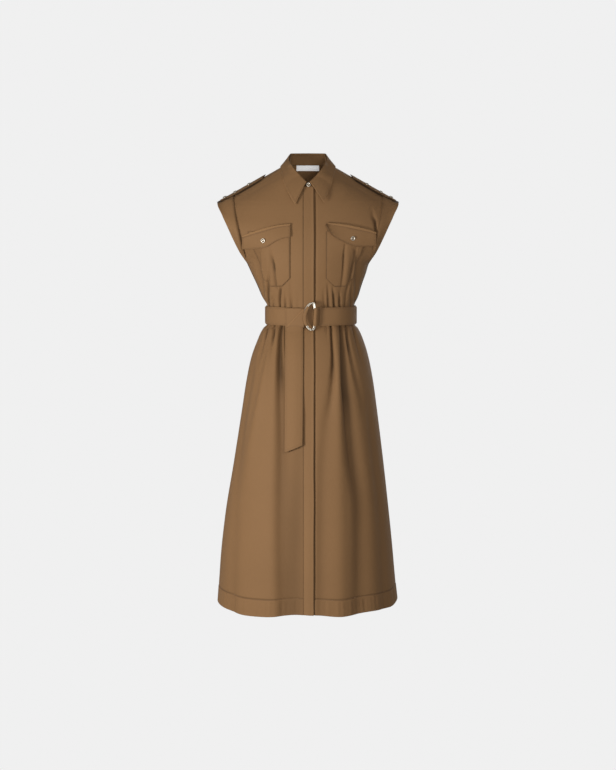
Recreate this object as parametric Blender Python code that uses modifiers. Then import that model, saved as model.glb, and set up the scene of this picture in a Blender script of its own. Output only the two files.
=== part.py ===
"""A belted shirt dress, filled out and hollow, as one cloth wall per cut piece.

The wearer's right is -X and the front faces -Y. The origin is the middle of the neck opening at
the level of the neck points of the shoulder seams, which rest on the wearer's shoulders.
"""

import math
from collections import namedtuple

import bmesh
import bpy
import numpy as np
from mathutils import Vector

# Walls and gaps
CLOTH = 0.0015
DOUBLE_CLOTH = 0.0022
SEAM_GAP = 0.0003
LAYER_GAP = 0.0008
SLEEVE_SEAM_GAP = 0.0022

# Heights
SHOULDER_SLOPE = 0.567
NECK_POINT_X = 0.060
NECK_POINT_HEIGHT = 0.001
NECK_FRONT_HEIGHT = -0.058
SHOULDER_TIP_HEIGHT = -0.097
UNDERARM_HEIGHT = -0.253
HEM_HEIGHT = -1.142

# Armholes
ARMHOLE_MID_HEIGHT = -0.175
ARMHOLE_HALF_HEIGHT = 0.078
ARMHOLE_HALF_GAP = 0.066
SLEEVE_END_HEIGHT = -0.240
SHOULDER_SEAM_LOW = -0.0735

# Placket: the wearer's right front laps over the left
PLACKET_STITCH_X = -0.0125
PLACKET_EDGE_X = 0.0140
UNDERLAP_X = -0.0095
PLACKET_RISE_WIDTH = 0.040

# Belt
BELT_TOP = -0.364
BELT_BOTTOM = -0.411
BELT_HALF_WIDTH = 0.1168
BELT_SHIFT = 0.0075
BELT_FRONT = 0.0890
BELT_BACK = 0.0765
BELT_END_X = 0.0215
BELT_START_X = 0.0145
RING_BAR_X = 0.0180
RING_HALF_HEIGHT = 0.0350
RING_WIDTH = 0.0340
RING_WIRE = 0.0018
RING_DROP = -0.0030
RING_BOW_POINTS = 18
TAIL_INNER_X = -0.0135
TAIL_OUTER_X = -0.0590
TAIL_TOP = -0.3660
TAIL_END_INNER = -0.7080
TAIL_END_OUTER = -0.7270

# Trim
BUTTON_RADIUS = 0.0057
BUTTON_THICKNESS = 0.0024
STRAP_HALF_WIDTH = 0.0190
STRAP_NECK_X = 0.116
STRAP_TIP_X = 0.226
LOOP_HALF_ANGLE = 4.0
SIDE_SEAM_ANGLE = 89.7
SHOULDER_SEAM_ANGLE = 86.8

# The squareness of every horizontal section, and how sharply it closes at its sides
SQUARENESS = 2.2
SIDE_ROUND = 0.5
RIDGE_ROUND = 0.75

Section = namedtuple("Section", "height half_width shift front back")
SECTIONS = (
    Section(0.006, 0.0512, 0.0, 0.053, 0.056),
    Section(-0.030, 0.1147, 0.0, 0.066, 0.070),
    Section(-0.058, 0.1641, 0.0, 0.075, 0.081),
    Section(-0.086, 0.2135, 0.0, 0.084, 0.089),
    Section(-0.097, 0.2325, 0.0, 0.088, 0.092),
    Section(-0.130, 0.2190, 0.0, 0.098, 0.096),
    Section(-0.161, 0.2045, 0.0, 0.108, 0.098),
    Section(-0.195, 0.1890, 0.0, 0.115, 0.098),
    Section(-0.224, 0.1750, 0.0, 0.117, 0.096),
    Section(-0.253, 0.1580, 0.0, 0.115, 0.092),
    Section(-0.281, 0.1470, 0.0020, 0.109, 0.087),
    Section(-0.309, 0.1355, 0.0036, 0.101, 0.081),
    Section(-0.340, 0.1240, 0.0055, 0.092, 0.076),
    Section(-0.364, 0.1150, 0.0070, 0.0855, 0.0740),
    Section(-0.387, 0.1130, 0.0075, 0.0840, 0.0725),
    Section(-0.411, 0.1150, 0.0072, 0.0855, 0.0740),
    Section(-0.421, 0.1220, 0.0068, 0.0925, 0.0820),
    Section(-0.459, 0.1396, 0.0062, 0.1090, 0.1010),
    Section(-0.497, 0.1520, 0.0050, 0.1210, 0.1150),
    Section(-0.559, 0.1647, 0.0045, 0.1340, 0.1300),
    Section(-0.624, 0.1743, 0.0040, 0.1430, 0.1390),
    Section(-0.772, 0.1953, 0.0016, 0.1560, 0.1520),
    Section(-0.905, 0.2138, -0.0020, 0.1660, 0.1620),
    Section(-1.011, 0.2252, -0.0028, 0.1730, 0.1690),
    Section(-1.079, 0.2306, -0.0023, 0.1765, 0.1730),
    Section(-1.142, 0.2360, -0.0013, 0.1795, 0.1765),
)

ArmholePoint = namedtuple("ArmholePoint", "height x")
ARMHOLE_SEAM = (
    ArmholePoint(-0.0727, 0.1900),
    ArmholePoint(-0.120, 0.1855),
    ArmholePoint(-0.161, 0.1775),
    ArmholePoint(-0.205, 0.1695),
    ArmholePoint(-0.240, 0.1605),
    ArmholePoint(-0.253, 0.1580),
)

NeckPoint = namedtuple("NeckPoint", "height x")
FRONT_NECKLINE = (
    NeckPoint(-0.0580, 0.0000),
    NeckPoint(-0.0530, 0.0170),
    NeckPoint(-0.0440, 0.0300),
    NeckPoint(-0.0280, 0.0440),
    NeckPoint(-0.0100, 0.0550),
    NeckPoint(0.0010, 0.0600),
)
BACK_NECKLINE = (
    NeckPoint(0.0010, 0.0600),
    NeckPoint(0.0030, 0.0480),
    NeckPoint(0.0042, 0.0300),
    NeckPoint(0.0045, 0.0000),
)

# Gathers and hanging folds: angles from the centre in degrees, depths in metres, all inwards
Fold = namedtuple("Fold", "side waist_angle hem_angle waist_depth hem_depth waist_width hem_width")
SKIRT_FOLDS = (
    Fold("front", -66, -62, 0.0060, 0.0050, 7, 8),
    Fold("front", -42, -24, 0.0090, 0.0110, 6, 7),
    Fold("front", -56, -43, 0.0040, 0.0060, 6, 7),
    Fold("front", 27, 24, 0.0070, 0.0060, 6, 7),
    Fold("front", 44, 38, 0.0100, 0.0100, 6, 7),
    Fold("front", 62, 58, 0.0060, 0.0060, 7, 8),
    Fold("back", -60, -64, 0.0060, 0.0070, 7, 8),
    Fold("back", -36, -40, 0.0090, 0.0090, 6, 7),
    Fold("back", -12, -15, 0.0070, 0.0080, 6, 7),
    Fold("back", 14, 13, 0.0080, 0.0090, 6, 7),
    Fold("back", 39, 37, 0.0080, 0.0080, 6, 7),
    Fold("back", 61, 62, 0.0060, 0.0070, 7, 8),
)

# Pocket flap edges, from the placket side outwards; heights of the two edges
FlapStation = namedtuple("FlapStation", "x top bottom")
FLAP_RIGHT = (
    FlapStation(-0.0440, -0.1540, -0.1870),
    FlapStation(-0.0620, -0.1555, -0.1900),
    FlapStation(-0.0830, -0.1585, -0.1980),
    FlapStation(-0.1050, -0.1635, -0.2105),
    FlapStation(-0.1240, -0.1690, -0.2130),
    FlapStation(-0.1460, -0.1760, -0.2135),
    FlapStation(-0.1650, -0.1825, -0.2130),
)
FLAP_LEFT = (
    FlapStation(0.0455, -0.1515, -0.1600),
    FlapStation(0.0520, -0.1518, -0.1730),
    FlapStation(0.0630, -0.1525, -0.1835),
    FlapStation(0.0840, -0.1545, -0.1955),
    FlapStation(0.1060, -0.1580, -0.2050),
    FlapStation(0.1260, -0.1620, -0.2080),
    FlapStation(0.1480, -0.1670, -0.2070),
    FlapStation(0.1700, -0.1735, -0.2050),
)
POCKET_INNER_X = 0.0450
POCKET_OUTER_TOP_X = 0.1520
POCKET_OUTER_BOTTOM_X = 0.1130
POCKET_TOP = -0.172
POCKET_BOTTOM = -0.3105
POCKET_CHAMFER = 0.021
POCKET_GAP = 0.0012

# The neck as half rings from the front to the centre back
CollarStation = namedtuple("CollarStation", "around x y height")
FOLD_LINE = (
    CollarStation(0.00, 0.0060, -0.0790, -0.0430),
    CollarStation(0.20, 0.0230, -0.0650, -0.0240),
    CollarStation(0.40, 0.0395, -0.0390, 0.0030),
    CollarStation(0.58, 0.0510, -0.0070, 0.0270),
    CollarStation(0.80, 0.0430, 0.0370, 0.0350),
    CollarStation(1.00, 0.0000, 0.0560, 0.0355),
)
LEAF_EDGE = (
    CollarStation(0.00, 0.0365, -0.0990, -0.1060),
    CollarStation(0.20, 0.0475, -0.0880, -0.0810),
    CollarStation(0.40, 0.0615, -0.0630, -0.0460),
    CollarStation(0.58, 0.0780, -0.0080, -0.0060),
    CollarStation(0.80, 0.0610, 0.0520, -0.0030),
    CollarStation(1.00, 0.0000, 0.0790, -0.0060),
)

COLUMNS_FRONT = 11
COLUMNS_BACK = 20
COLUMNS_SKIRT_FRONT = 14
COLUMNS_SKIRT_BACK = 26
BODICE_HEIGHTS = (
    -0.3868, -0.360, -0.325, -0.290, -0.253, -0.235, -0.205, -0.175, -0.145, -0.115, -0.092,
    -0.0745, -0.058, -0.046, -0.031, -0.016, -0.004,
)
SKIRT_HEIGHTS = (
    HEM_HEIGHT, -1.000, -0.860, -0.740, -0.640, -0.560, -0.497, -0.459, -0.436, -0.421,
    -0.411, -0.3872,
)


# --- The body form -------------------------------------------------------------------------------


def smooth_column(places, values):
    """A curve through the rows of a table that never swings past them."""
    order = np.argsort(places)
    x = np.asarray(places, float)[order]
    y = np.asarray(values, float)[order]
    step = np.diff(x)
    rise = np.diff(y) / step
    slope = np.empty(len(x))
    slope[0] = rise[0]
    slope[-1] = rise[-1]
    for i in range(1, len(x) - 1):
        if rise[i - 1] * rise[i] <= 0:
            slope[i] = 0.0
            continue
        before = 2 * step[i] + step[i - 1]
        after = step[i] + 2 * step[i - 1]
        slope[i] = (before + after) / (before / rise[i - 1] + after / rise[i])

    def value(at):
        at = min(max(at, x[0]), x[-1])
        i = min(int(np.searchsorted(x, at, side="right")) - 1, len(step) - 1)
        t = (at - x[i]) / step[i]
        return float(
            (1 + 2 * t) * (1 - t) ** 2 * y[i]
            + t * (1 - t) ** 2 * step[i] * slope[i]
            + t * t * (3 - 2 * t) * y[i + 1]
            + t * t * (t - 1) * step[i] * slope[i + 1]
        )

    return value


def table_columns(rows, key):
    places = [getattr(row, key) for row in rows]
    names = [name for name in rows[0]._fields if name != key]
    return {name: smooth_column(places, [getattr(row, name) for row in rows]) for name in names}


SECTION = table_columns(SECTIONS, "height")
ARMHOLE_X = table_columns(ARMHOLE_SEAM, "height")["x"]
FRONT_NECK_X = table_columns(FRONT_NECKLINE, "height")["x"]
BACK_NECK_HEIGHT = smooth_column([p.x for p in BACK_NECKLINE], [p.height for p in BACK_NECKLINE])


def eased(share):
    share = min(max(share, 0.0), 1.0)
    return share * share * (3 - 2 * share)


def armhole_gap(height):
    """Half the depth of the armhole opening at a height."""
    off = (height - ARMHOLE_MID_HEIGHT) / ARMHOLE_HALF_HEIGHT
    return ARMHOLE_HALF_GAP * math.sqrt(max(0.0, 1 - off * off))


def section_round(height):
    """How sharply a section closes: a ridge along the shoulders, a smooth side below the arms."""
    above = eased((height - UNDERARM_HEIGHT + 0.02) / 0.06)
    return SIDE_ROUND + (RIDGE_ROUND - SIDE_ROUND) * above


def fold_depth(side, angle, height):
    """How far the gathers draw the skirt in at this place."""
    down = (BELT_BOTTOM - height) / (BELT_BOTTOM - HEM_HEIGHT)
    if down <= 0:
        return 0.0
    start = eased(down / 0.05)
    total = 0.0
    for fold in SKIRT_FOLDS:
        if fold.side != side:
            continue
        middle = fold.waist_angle + (fold.hem_angle - fold.waist_angle) * math.sqrt(down)
        width = fold.waist_width + (fold.hem_width - fold.waist_width) * down
        depth = fold.waist_depth + (fold.hem_depth - fold.waist_depth) * down
        total += depth * math.exp(-(((angle - middle) / width) ** 2))
    return start * total


def form_point(side, angle, height):
    """A point of the outer cloth: the angle runs from the centre line to 90 at the side."""
    across = math.sin(math.radians(angle))
    depth = SECTION["front" if side == "front" else "back"](height)
    gap = armhole_gap(height)
    closing = (1 - abs(across) ** SQUARENESS) ** section_round(height)
    x = SECTION["shift"](height) + across * SECTION["half_width"](height)
    y = gap + (depth - gap) * closing
    drawn_in = 1 - fold_depth(side, angle, height) / depth
    return Vector((x * drawn_in, (-y if side == "front" else y) * drawn_in, height))


def angle_at(x, height):
    across = (x - SECTION["shift"](height)) / SECTION["half_width"](height)
    return math.degrees(math.asin(min(max(across, -1.0), 1.0)))


def form_normal(side, angle, height):
    step_angle = 0.5
    step_height = 0.002
    inner = min(max(angle, -88.0), 88.0)
    along = form_point(side, inner + step_angle, height) - form_point(side, inner - step_angle, height)
    up = form_point(side, inner, height + step_height) - form_point(side, inner, height - step_height)
    normal = along.cross(up).normalized()
    return -normal if normal.y * (-1 if side == "front" else 1) < 0 else normal


def lifted(side, x, height, lift):
    """A point of the form at x, moved out along the cloth's own normal."""
    angle = angle_at(x, height)
    return form_point(side, angle, height) + form_normal(side, angle, height) * lift


# --- Objects and materials -----------------------------------------------------------------------


def clear_scene():
    for thing in list(bpy.data.objects):
        bpy.data.objects.remove(thing, do_unlink=True)


def material(name, colour, roughness, metallic=0.0):
    made = bpy.data.materials.new(name)
    made.use_nodes = True
    shader = made.node_tree.nodes["Principled BSDF"]
    shader.inputs["Base Color"].default_value = (*colour, 1.0)
    shader.inputs["Roughness"].default_value = roughness
    shader.inputs["Metallic"].default_value = metallic
    made.diffuse_color = (*colour, 1.0)
    return made


def cloth_material(name):
    return material(name + "_twill", (0.258, 0.141, 0.065), 0.75)


def metal_material(name):
    return material(name + "_metal", (0.72, 0.68, 0.60), 0.28, 1.0)


def add_object(name, mesh, finish):
    made = bpy.data.objects.new(name, mesh)
    bpy.data.collections["shirt_dress"].objects.link(made)
    mesh.materials.append(finish)
    return made


def cloth(name, columns, rows, place, thickness=CLOTH, inside=(0.0, 0.0)):
    """A grid whose points `place` puts on the garment, walled inwards; place takes (u, v) in 0..1.

    `inside` is the x and y of the axis that the cloth's outer face looks away from."""
    mesh = bpy.data.meshes.new(name)
    bm = bmesh.new()
    bmesh.ops.create_grid(bm, x_segments=columns, y_segments=rows, size=0.5)
    for vertex in bm.verts:
        column = round((vertex.co.x + 0.5) * columns)
        row = round((vertex.co.y + 0.5) * rows)
        vertex.co = place(column / columns, row / rows)
    bm.normal_update()
    facing = 0.0
    for face in bm.faces:
        centre = face.calc_center_median()
        away = Vector((centre.x - inside[0], centre.y - inside[1], 0.0))
        facing += face.normal.dot(away) * face.calc_area()
    if facing < 0:
        bmesh.ops.reverse_faces(bm, faces=bm.faces[:])
    bm.to_mesh(mesh)
    bm.free()
    mesh.shade_smooth()
    made = add_object(name, mesh, cloth_material(name))
    wall = made.modifiers.new("wall", "SOLIDIFY")
    wall.thickness = thickness
    wall.offset = -1.0
    return made


def at_row(heights, v):
    return heights[min(int(round(v * (len(heights) - 1))), len(heights) - 1)]


# --- Bodice --------------------------------------------------------------------------------------


def placket_rise(x):
    """The right front climbs onto the placket's level over its last few centimetres."""
    rise = CLOTH + LAYER_GAP
    return rise * eased((x - (PLACKET_STITCH_X - PLACKET_RISE_WIDTH)) / PLACKET_RISE_WIDTH)


def outer_angle(height):
    """Where a bodice panel ends: the shoulder and side seams at 90, the armhole between them."""
    if UNDERARM_HEIGHT < height < SHOULDER_SEAM_LOW:
        return angle_at(ARMHOLE_X(height), height)
    return 90.0


def seam_inset(angle, height):
    """Pulls an angle in from 90 so that two pieces that meet at a seam stay apart.

    Along the shoulder ridge the walls lean towards each other, so they start further apart."""
    return min(angle, SHOULDER_SEAM_ANGLE if height > UNDERARM_HEIGHT else SIDE_SEAM_ANGLE)


def bodice_front(name, sign, centre_x):
    rows = len(BODICE_HEIGHTS) - 1

    def place(u, v):
        height = at_row(BODICE_HEIGHTS, v)
        inner_x = centre_x
        if height > NECK_FRONT_HEIGHT:
            inner_x = sign * max(abs(centre_x), FRONT_NECK_X(height))
        inner = angle_at(inner_x, height)
        outer = sign * seam_inset(outer_angle(height), height)
        angle = inner + (outer - inner) * u
        point = form_point("front", angle, height)
        if sign < 0:
            point += form_normal("front", angle, height) * placket_rise(point.x)
        return point

    return cloth(name, COLUMNS_FRONT, rows, place)


def bodice_back():
    rows = len(BODICE_HEIGHTS) - 1

    def place(u, v):
        height = at_row(BODICE_HEIGHTS, v)
        outer = seam_inset(outer_angle(height), height)
        angle = outer * (2 * u - 1)
        return form_point("back", angle, height)

    return cloth("bodice_back", COLUMNS_BACK, rows, place)


def sleeve(name, sign):
    """One strip from the front of the armhole over the shoulder to its back."""

    def place(u, v):
        side = "front" if u <= 0.5 else "back"
        up = 1 - abs(2 * u - 1)
        climb = math.sin(math.radians(90 * up))
        seam_height = SLEEVE_END_HEIGHT + (SHOULDER_SEAM_LOW - SLEEVE_END_HEIGHT) * climb
        edge_height = SLEEVE_END_HEIGHT + (SHOULDER_TIP_HEIGHT - SLEEVE_END_HEIGHT) * climb
        seam_angle = angle_at(ARMHOLE_X(seam_height) + SLEEVE_SEAM_GAP, seam_height)
        if up > 0.999:
            seam_angle = 90.0
        share = 0.03 + 0.97 * v
        height = seam_height + (edge_height - seam_height) * share
        angle = seam_angle + (90.0 - seam_angle) * v
        return form_point(side, sign * angle, height)

    return cloth(name, 20, 2, place, inside=(sign * 0.10, 0.0))


# --- Collar --------------------------------------------------------------------------------------

FOLD_AT = table_columns(FOLD_LINE, "around")
LEAF_AT = table_columns(LEAF_EDGE, "around")
FRONT_SHARE = 0.58


def half_ring(table, around, sign):
    return Vector((sign * table["x"](around), table["y"](around), table["height"](around)))


def neck_seam(around, sign):
    """The neckline as a half ring: the first part is on the front, the rest on the back."""
    if around <= FRONT_SHARE:
        share = math.sin(math.radians(90 * around / FRONT_SHARE))
        height = NECK_FRONT_HEIGHT + (NECK_POINT_HEIGHT - 0.003 - NECK_FRONT_HEIGHT) * share**1.6
        x = max(0.004, FRONT_NECK_X(height))
        return form_point("front", sign * angle_at(x, height), height)
    share = (around - FRONT_SHARE) / (1 - FRONT_SHARE)
    x = NECK_POINT_X * math.cos(math.radians(90 * share)) * 0.985
    height = BACK_NECK_HEIGHT(x)
    return form_point("back", sign * angle_at(x, height), height)


def collar_stand():
    def place(u, v):
        sign = 1 if u >= 0.5 else -1
        around = 1 - abs(2 * u - 1)
        low = neck_seam(around, sign)
        inwards = Vector((-low.x, -low.y, 0)).normalized()
        front_rise = 0.0045 * eased(1 - around / 0.3)
        low += Vector((0, 0, 0.0012 + front_rise)) + inwards * 0.0010
        high = half_ring(FOLD_AT, around, sign) + inwards * 0.0016
        return low.lerp(high, v)

    return cloth("collar_stand", 32, 2, place, inside=(0.0, -0.01))


def clear_of_form(point, lift):
    """Moves a point out in depth where it would lie inside the cloth under it."""
    side = "front" if point.y < 0 else "back"
    height = point.z
    reach = SECTION["half_width"](height)
    if height > 0.004 or abs(point.x) >= reach:
        return point
    surface = form_point(side, angle_at(point.x, height), height).y
    if side == "front":
        point.y = min(point.y, surface - lift)
    else:
        point.y = max(point.y, surface + lift)
    return point


def collar_leaf():
    def place(u, v):
        sign = 1 if u >= 0.5 else -1
        around = 1 - abs(2 * u - 1)
        root = half_ring(FOLD_AT, around, sign)
        edge = half_ring(LEAF_AT, around, sign)
        outwards = Vector((root.x, root.y, 0)).normalized()
        root += outwards * 0.0016 + Vector((0, 0, 0.0008))
        bend = root.lerp(edge, 0.45) + outwards * 0.009 + Vector((0, 0, 0.006))
        point = root.lerp(bend, v).lerp(bend.lerp(edge, v), v)
        return clear_of_form(point, 0.0050)

    return cloth("collar_leaf", 32, 4, place, DOUBLE_CLOTH - 0.0004, inside=(0.0, -0.01))


def neck_label():
    """A blank strip sewn inside the back neck."""
    half_length = 0.030
    top = 0.0025
    bottom = -0.0115

    def place(u, v):
        x = -0.002 + half_length * (2 * u - 1)
        height = bottom + (top - bottom) * v
        return lifted("back", x, height, -CLOTH - LAYER_GAP)

    made = cloth("neck_label", 8, 1, place, 0.0010)
    made.data.materials[0] = material("neck_label_tape", (0.86, 0.86, 0.86), 0.6)
    return made


# --- Skirt ---------------------------------------------------------------------------------------


def skirt_front(name, sign, centre_x):
    rows = len(SKIRT_HEIGHTS) - 1

    def place(u, v):
        height = at_row(SKIRT_HEIGHTS, v)
        inner = angle_at(centre_x, height)
        outer = sign * seam_inset(90.0, height)
        angle = inner + (outer - inner) * u
        point = form_point("front", angle, height)
        if sign < 0:
            point += form_normal("front", angle, height) * placket_rise(point.x)
        return point

    return cloth(name, COLUMNS_SKIRT_FRONT, rows, place)


def skirt_back():
    rows = len(SKIRT_HEIGHTS) - 1

    def place(u, v):
        height = at_row(SKIRT_HEIGHTS, v)
        angle = seam_inset(90.0, height) * (2 * u - 1)
        return form_point("back", angle, height)

    return cloth("skirt_back", COLUMNS_SKIRT_BACK, rows, place)


def placket(name, heights):
    """The top lap: it lies one layer over the left front, level with the right one."""
    rise = CLOTH + LAYER_GAP

    def place(u, v):
        height = at_row(heights, v)
        x = PLACKET_STITCH_X + SEAM_GAP + (PLACKET_EDGE_X - PLACKET_STITCH_X) * u
        return lifted("front", x, height, rise)

    return cloth(name, 2, len(heights) - 1, place, CLOTH)


# --- Pockets, flaps and straps -------------------------------------------------------------------


def pocket(name, sign):
    def place(u, v):
        outer = POCKET_OUTER_BOTTOM_X + (POCKET_OUTER_TOP_X - POCKET_OUTER_BOTTOM_X) * v
        x = POCKET_INNER_X + (outer - POCKET_INNER_X) * u
        from_end = min(x - POCKET_INNER_X, outer - x)
        corner = max(0.0, POCKET_CHAMFER - from_end)
        bottom = POCKET_BOTTOM + corner
        height = bottom + (POCKET_TOP - bottom) * v
        return lifted("front", sign * x, height, POCKET_GAP + CLOTH)

    return cloth(name, 9, 6, place)


def flap(name, stations):
    places = [abs(station.x) for station in stations]
    top = smooth_column(places, [station.top for station in stations])
    bottom = smooth_column(places, [station.bottom for station in stations])
    sign = 1 if stations[0].x > 0 else -1

    def place(u, v):
        x = places[0] + (places[-1] - places[0]) * u
        height = bottom(x) + (top(x) - bottom(x)) * v
        stand_off = LAYER_GAP + 0.0012 * (1 - v)
        return lifted("front", sign * x, height, POCKET_GAP + 2 * CLOTH + stand_off)

    return cloth(name, 10, 3, place)


def shoulder_height(x, y):
    """The height of the shoulder's cloth over a point of the plan, by halving."""
    side = "front" if y < 0 else "back"
    high = NECK_POINT_HEIGHT - SHOULDER_SLOPE * (abs(x) - NECK_POINT_X)
    low = high - 0.06
    for _ in range(24):
        middle = 0.5 * (high + low)
        depth = abs(form_point(side, angle_at(x, middle), middle).y)
        if depth < abs(y):
            high = middle
        else:
            low = middle
    return high


def strap_point(x, y):
    return Vector((x, y, shoulder_height(x, y) + 0.0030 + CLOTH))


def epaulette(name, sign):
    def place(u, v):
        x = STRAP_NECK_X + (STRAP_TIP_X - STRAP_NECK_X) * u
        y = STRAP_HALF_WIDTH * (2 * v - 1)
        point_back = 0.012 * (1 - abs(2 * v - 1)) if u == 0 else 0.0
        return strap_point(sign * (x - point_back), y)

    mesh_object = cloth(name, 9, 4, place)
    mesh = mesh_object.data
    upwards = sum(polygon.normal.z * polygon.area for polygon in mesh.polygons)
    if upwards < 0:
        mesh.flip_normals()
    return mesh_object


# --- Buttons and belt ----------------------------------------------------------------------------


def button(name, place, normal):
    """A turned disc with a raised rim, lying on the cloth at a place."""
    bm = bmesh.new()
    bmesh.ops.create_cone(
        bm,
        cap_ends=True,
        segments=16,
        radius1=BUTTON_RADIUS,
        radius2=0.86 * BUTTON_RADIUS,
        depth=BUTTON_THICKNESS,
    )
    top = [face for face in bm.faces if face.normal.z > 0.9]
    bmesh.ops.inset_region(bm, faces=top, thickness=0.3 * BUTTON_RADIUS)
    top = [face for face in bm.faces if face.normal.z > 0.9 and len(face.verts) == 16]
    for face in top:
        for vertex in face.verts:
            vertex.co.z -= 0.25 * BUTTON_THICKNESS
    mesh = bpy.data.meshes.new(name)
    bm.to_mesh(mesh)
    bm.free()
    made = add_object(name, mesh, metal_material(name))
    made.rotation_mode = "QUATERNION"
    made.rotation_quaternion = Vector((0, 0, 1)).rotation_difference(normal)
    made.location = place + normal * (0.5 * BUTTON_THICKNESS + 0.0004)
    return made


def buttons():
    neck_height = -0.0490
    neck = form_point("front", 0.0, neck_height)
    neck_place = Vector((0.0, neck.y - 0.0085, neck_height))
    button("button_neck", neck_place, Vector((0, -0.96, 0.28)).normalized())
    for name, x, height in (
        ("button_pocket_right", -0.1110, -0.1940),
        ("button_pocket_left", 0.1110, -0.1890),
    ):
        normal = form_normal("front", angle_at(x, height), height)
        place = lifted("front", x, height, POCKET_GAP + 2 * CLOTH + LAYER_GAP + 0.0012)
        button(name, place, normal)
    for side, sign in (("right", -1), ("left", 1)):
        for number, x in enumerate((0.151, 0.187, 0.213), start=1):
            place = strap_point(sign * x, -0.0095)
            along = strap_point(sign * x + 0.002, -0.0095) - strap_point(sign * x - 0.002, -0.0095)
            across = strap_point(sign * x, -0.0075) - strap_point(sign * x, -0.0115)
            normal = along.cross(across).normalized()
            button(f"button_shoulder_{side}_{number}", place, -normal if normal.z < 0 else normal)


def belt_point(angle_round, height, lift):
    """A point of the belt's outer face; the angle runs all round, 0 at the front, + towards +X."""
    radians = math.radians(angle_round)
    across = math.sin(radians)
    front = math.cos(radians) >= 0
    depth = BELT_FRONT if front else BELT_BACK
    closing = (1 - min(1.0, abs(across)) ** SQUARENESS) ** SIDE_ROUND
    point = Vector((BELT_HALF_WIDTH * across, -depth * closing if front else depth * closing, 0))
    out = Vector((point.x / BELT_HALF_WIDTH**2, point.y / depth**2, 0)).normalized()
    return point + out * lift + Vector((BELT_SHIFT, 0, height))


def belt_angle(x):
    return math.degrees(math.asin((x - BELT_SHIFT) / BELT_HALF_WIDTH))


def belt():
    start = belt_angle(BELT_END_X)
    end = 360.0 + belt_angle(BELT_START_X)

    def place(u, v):
        height = BELT_BOTTOM + (BELT_TOP - BELT_BOTTOM) * v
        return belt_point(start + (end - start) * u, height, DOUBLE_CLOTH)

    return cloth("belt", 44, 1, place, DOUBLE_CLOTH, inside=(BELT_SHIFT, 0.0))


def tail_depth(x, height):
    """The front depth that the belt's hanging end rests on: the belt, then the skirt."""
    belt_outer = -belt_point(belt_angle(x), height, DOUBLE_CLOTH).y
    skirt_outer = -lifted("front", x, height, placket_rise(x)).y
    if height > BELT_BOTTOM + 0.001:
        return belt_outer
    return max(belt_outer, skirt_outer)


TAIL_HEIGHTS = (
    TAIL_END_OUTER, -0.640, -0.560, -0.497, -0.459, -0.436, -0.421, -0.414, -0.405, TAIL_TOP,
)


def belt_tail():
    def place(u, v):
        x = TAIL_INNER_X + (TAIL_OUTER_X - TAIL_INNER_X) * u
        height = at_row(TAIL_HEIGHTS, v)
        if v == 0:
            height = TAIL_END_INNER + (TAIL_END_OUTER - TAIL_END_INNER) * u
        stand_off = 0.0014 + DOUBLE_CLOTH
        return Vector((x, -tail_depth(x, height) - stand_off, height))

    return cloth("belt_tail", 4, len(TAIL_HEIGHTS) - 1, place, DOUBLE_CLOTH)


def belt_turn():
    """The turn of the belt that lies over the tail: a triangle whose long side is the crease."""
    top = BELT_TOP - 0.004
    bottom = BELT_BOTTOM - 0.004
    inner_x = -0.0100

    def place(u, v):
        height = bottom + (top - bottom) * v
        crease_x = TAIL_OUTER_X + 0.003 + (inner_x - 0.003 - TAIL_OUTER_X - 0.003) * v
        x = inner_x + (crease_x - inner_x) * u
        stand_off = 0.0014 + 2 * DOUBLE_CLOTH + 0.0012
        return Vector((x, -tail_depth(x, BELT_BOTTOM + 0.002) - stand_off, height))

    return cloth("belt_turn", 5, 4, place, DOUBLE_CLOTH - 0.0004)


def belt_ring(name, lean, stand_off):
    """A D of round wire: a straight upright bar, and a bow that reaches to the wearer's right."""
    curve = bpy.data.curves.new(name + "_wire", "CURVE")
    curve.dimensions = "3D"
    curve.bevel_depth = RING_WIRE
    curve.bevel_resolution = 1
    spline = curve.splines.new("POLY")
    spline.points.add(RING_BOW_POINTS - 1)
    middle = 0.5 * (BELT_TOP + BELT_BOTTOM) - RING_DROP
    for i in range(RING_BOW_POINTS):
        turn = math.pi * i / (RING_BOW_POINTS - 1)
        up = math.cos(turn) * RING_HALF_HEIGHT
        across = RING_BAR_X - math.sin(turn) * RING_WIDTH
        spline.points[i].co = (across + lean * up, -(BELT_FRONT + stand_off), middle + up, 1.0)
    spline.use_cyclic_u = True
    made = bpy.data.objects.new(name, curve)
    bpy.data.collections["shirt_dress"].objects.link(made)
    curve.materials.append(metal_material(name))
    return made


def belt_loop(name, sign):
    middle = 90.0 * sign

    def place(u, v):
        angle = middle + LOOP_HALF_ANGLE * (2 * u - 1)
        height = BELT_BOTTOM - 0.0005 + (BELT_TOP - BELT_BOTTOM + 0.006) * v
        return belt_point(angle, height, DOUBLE_CLOTH + LAYER_GAP + CLOTH)

    return cloth(name, 2, 3, place, inside=(BELT_SHIFT, 0.0))


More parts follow.
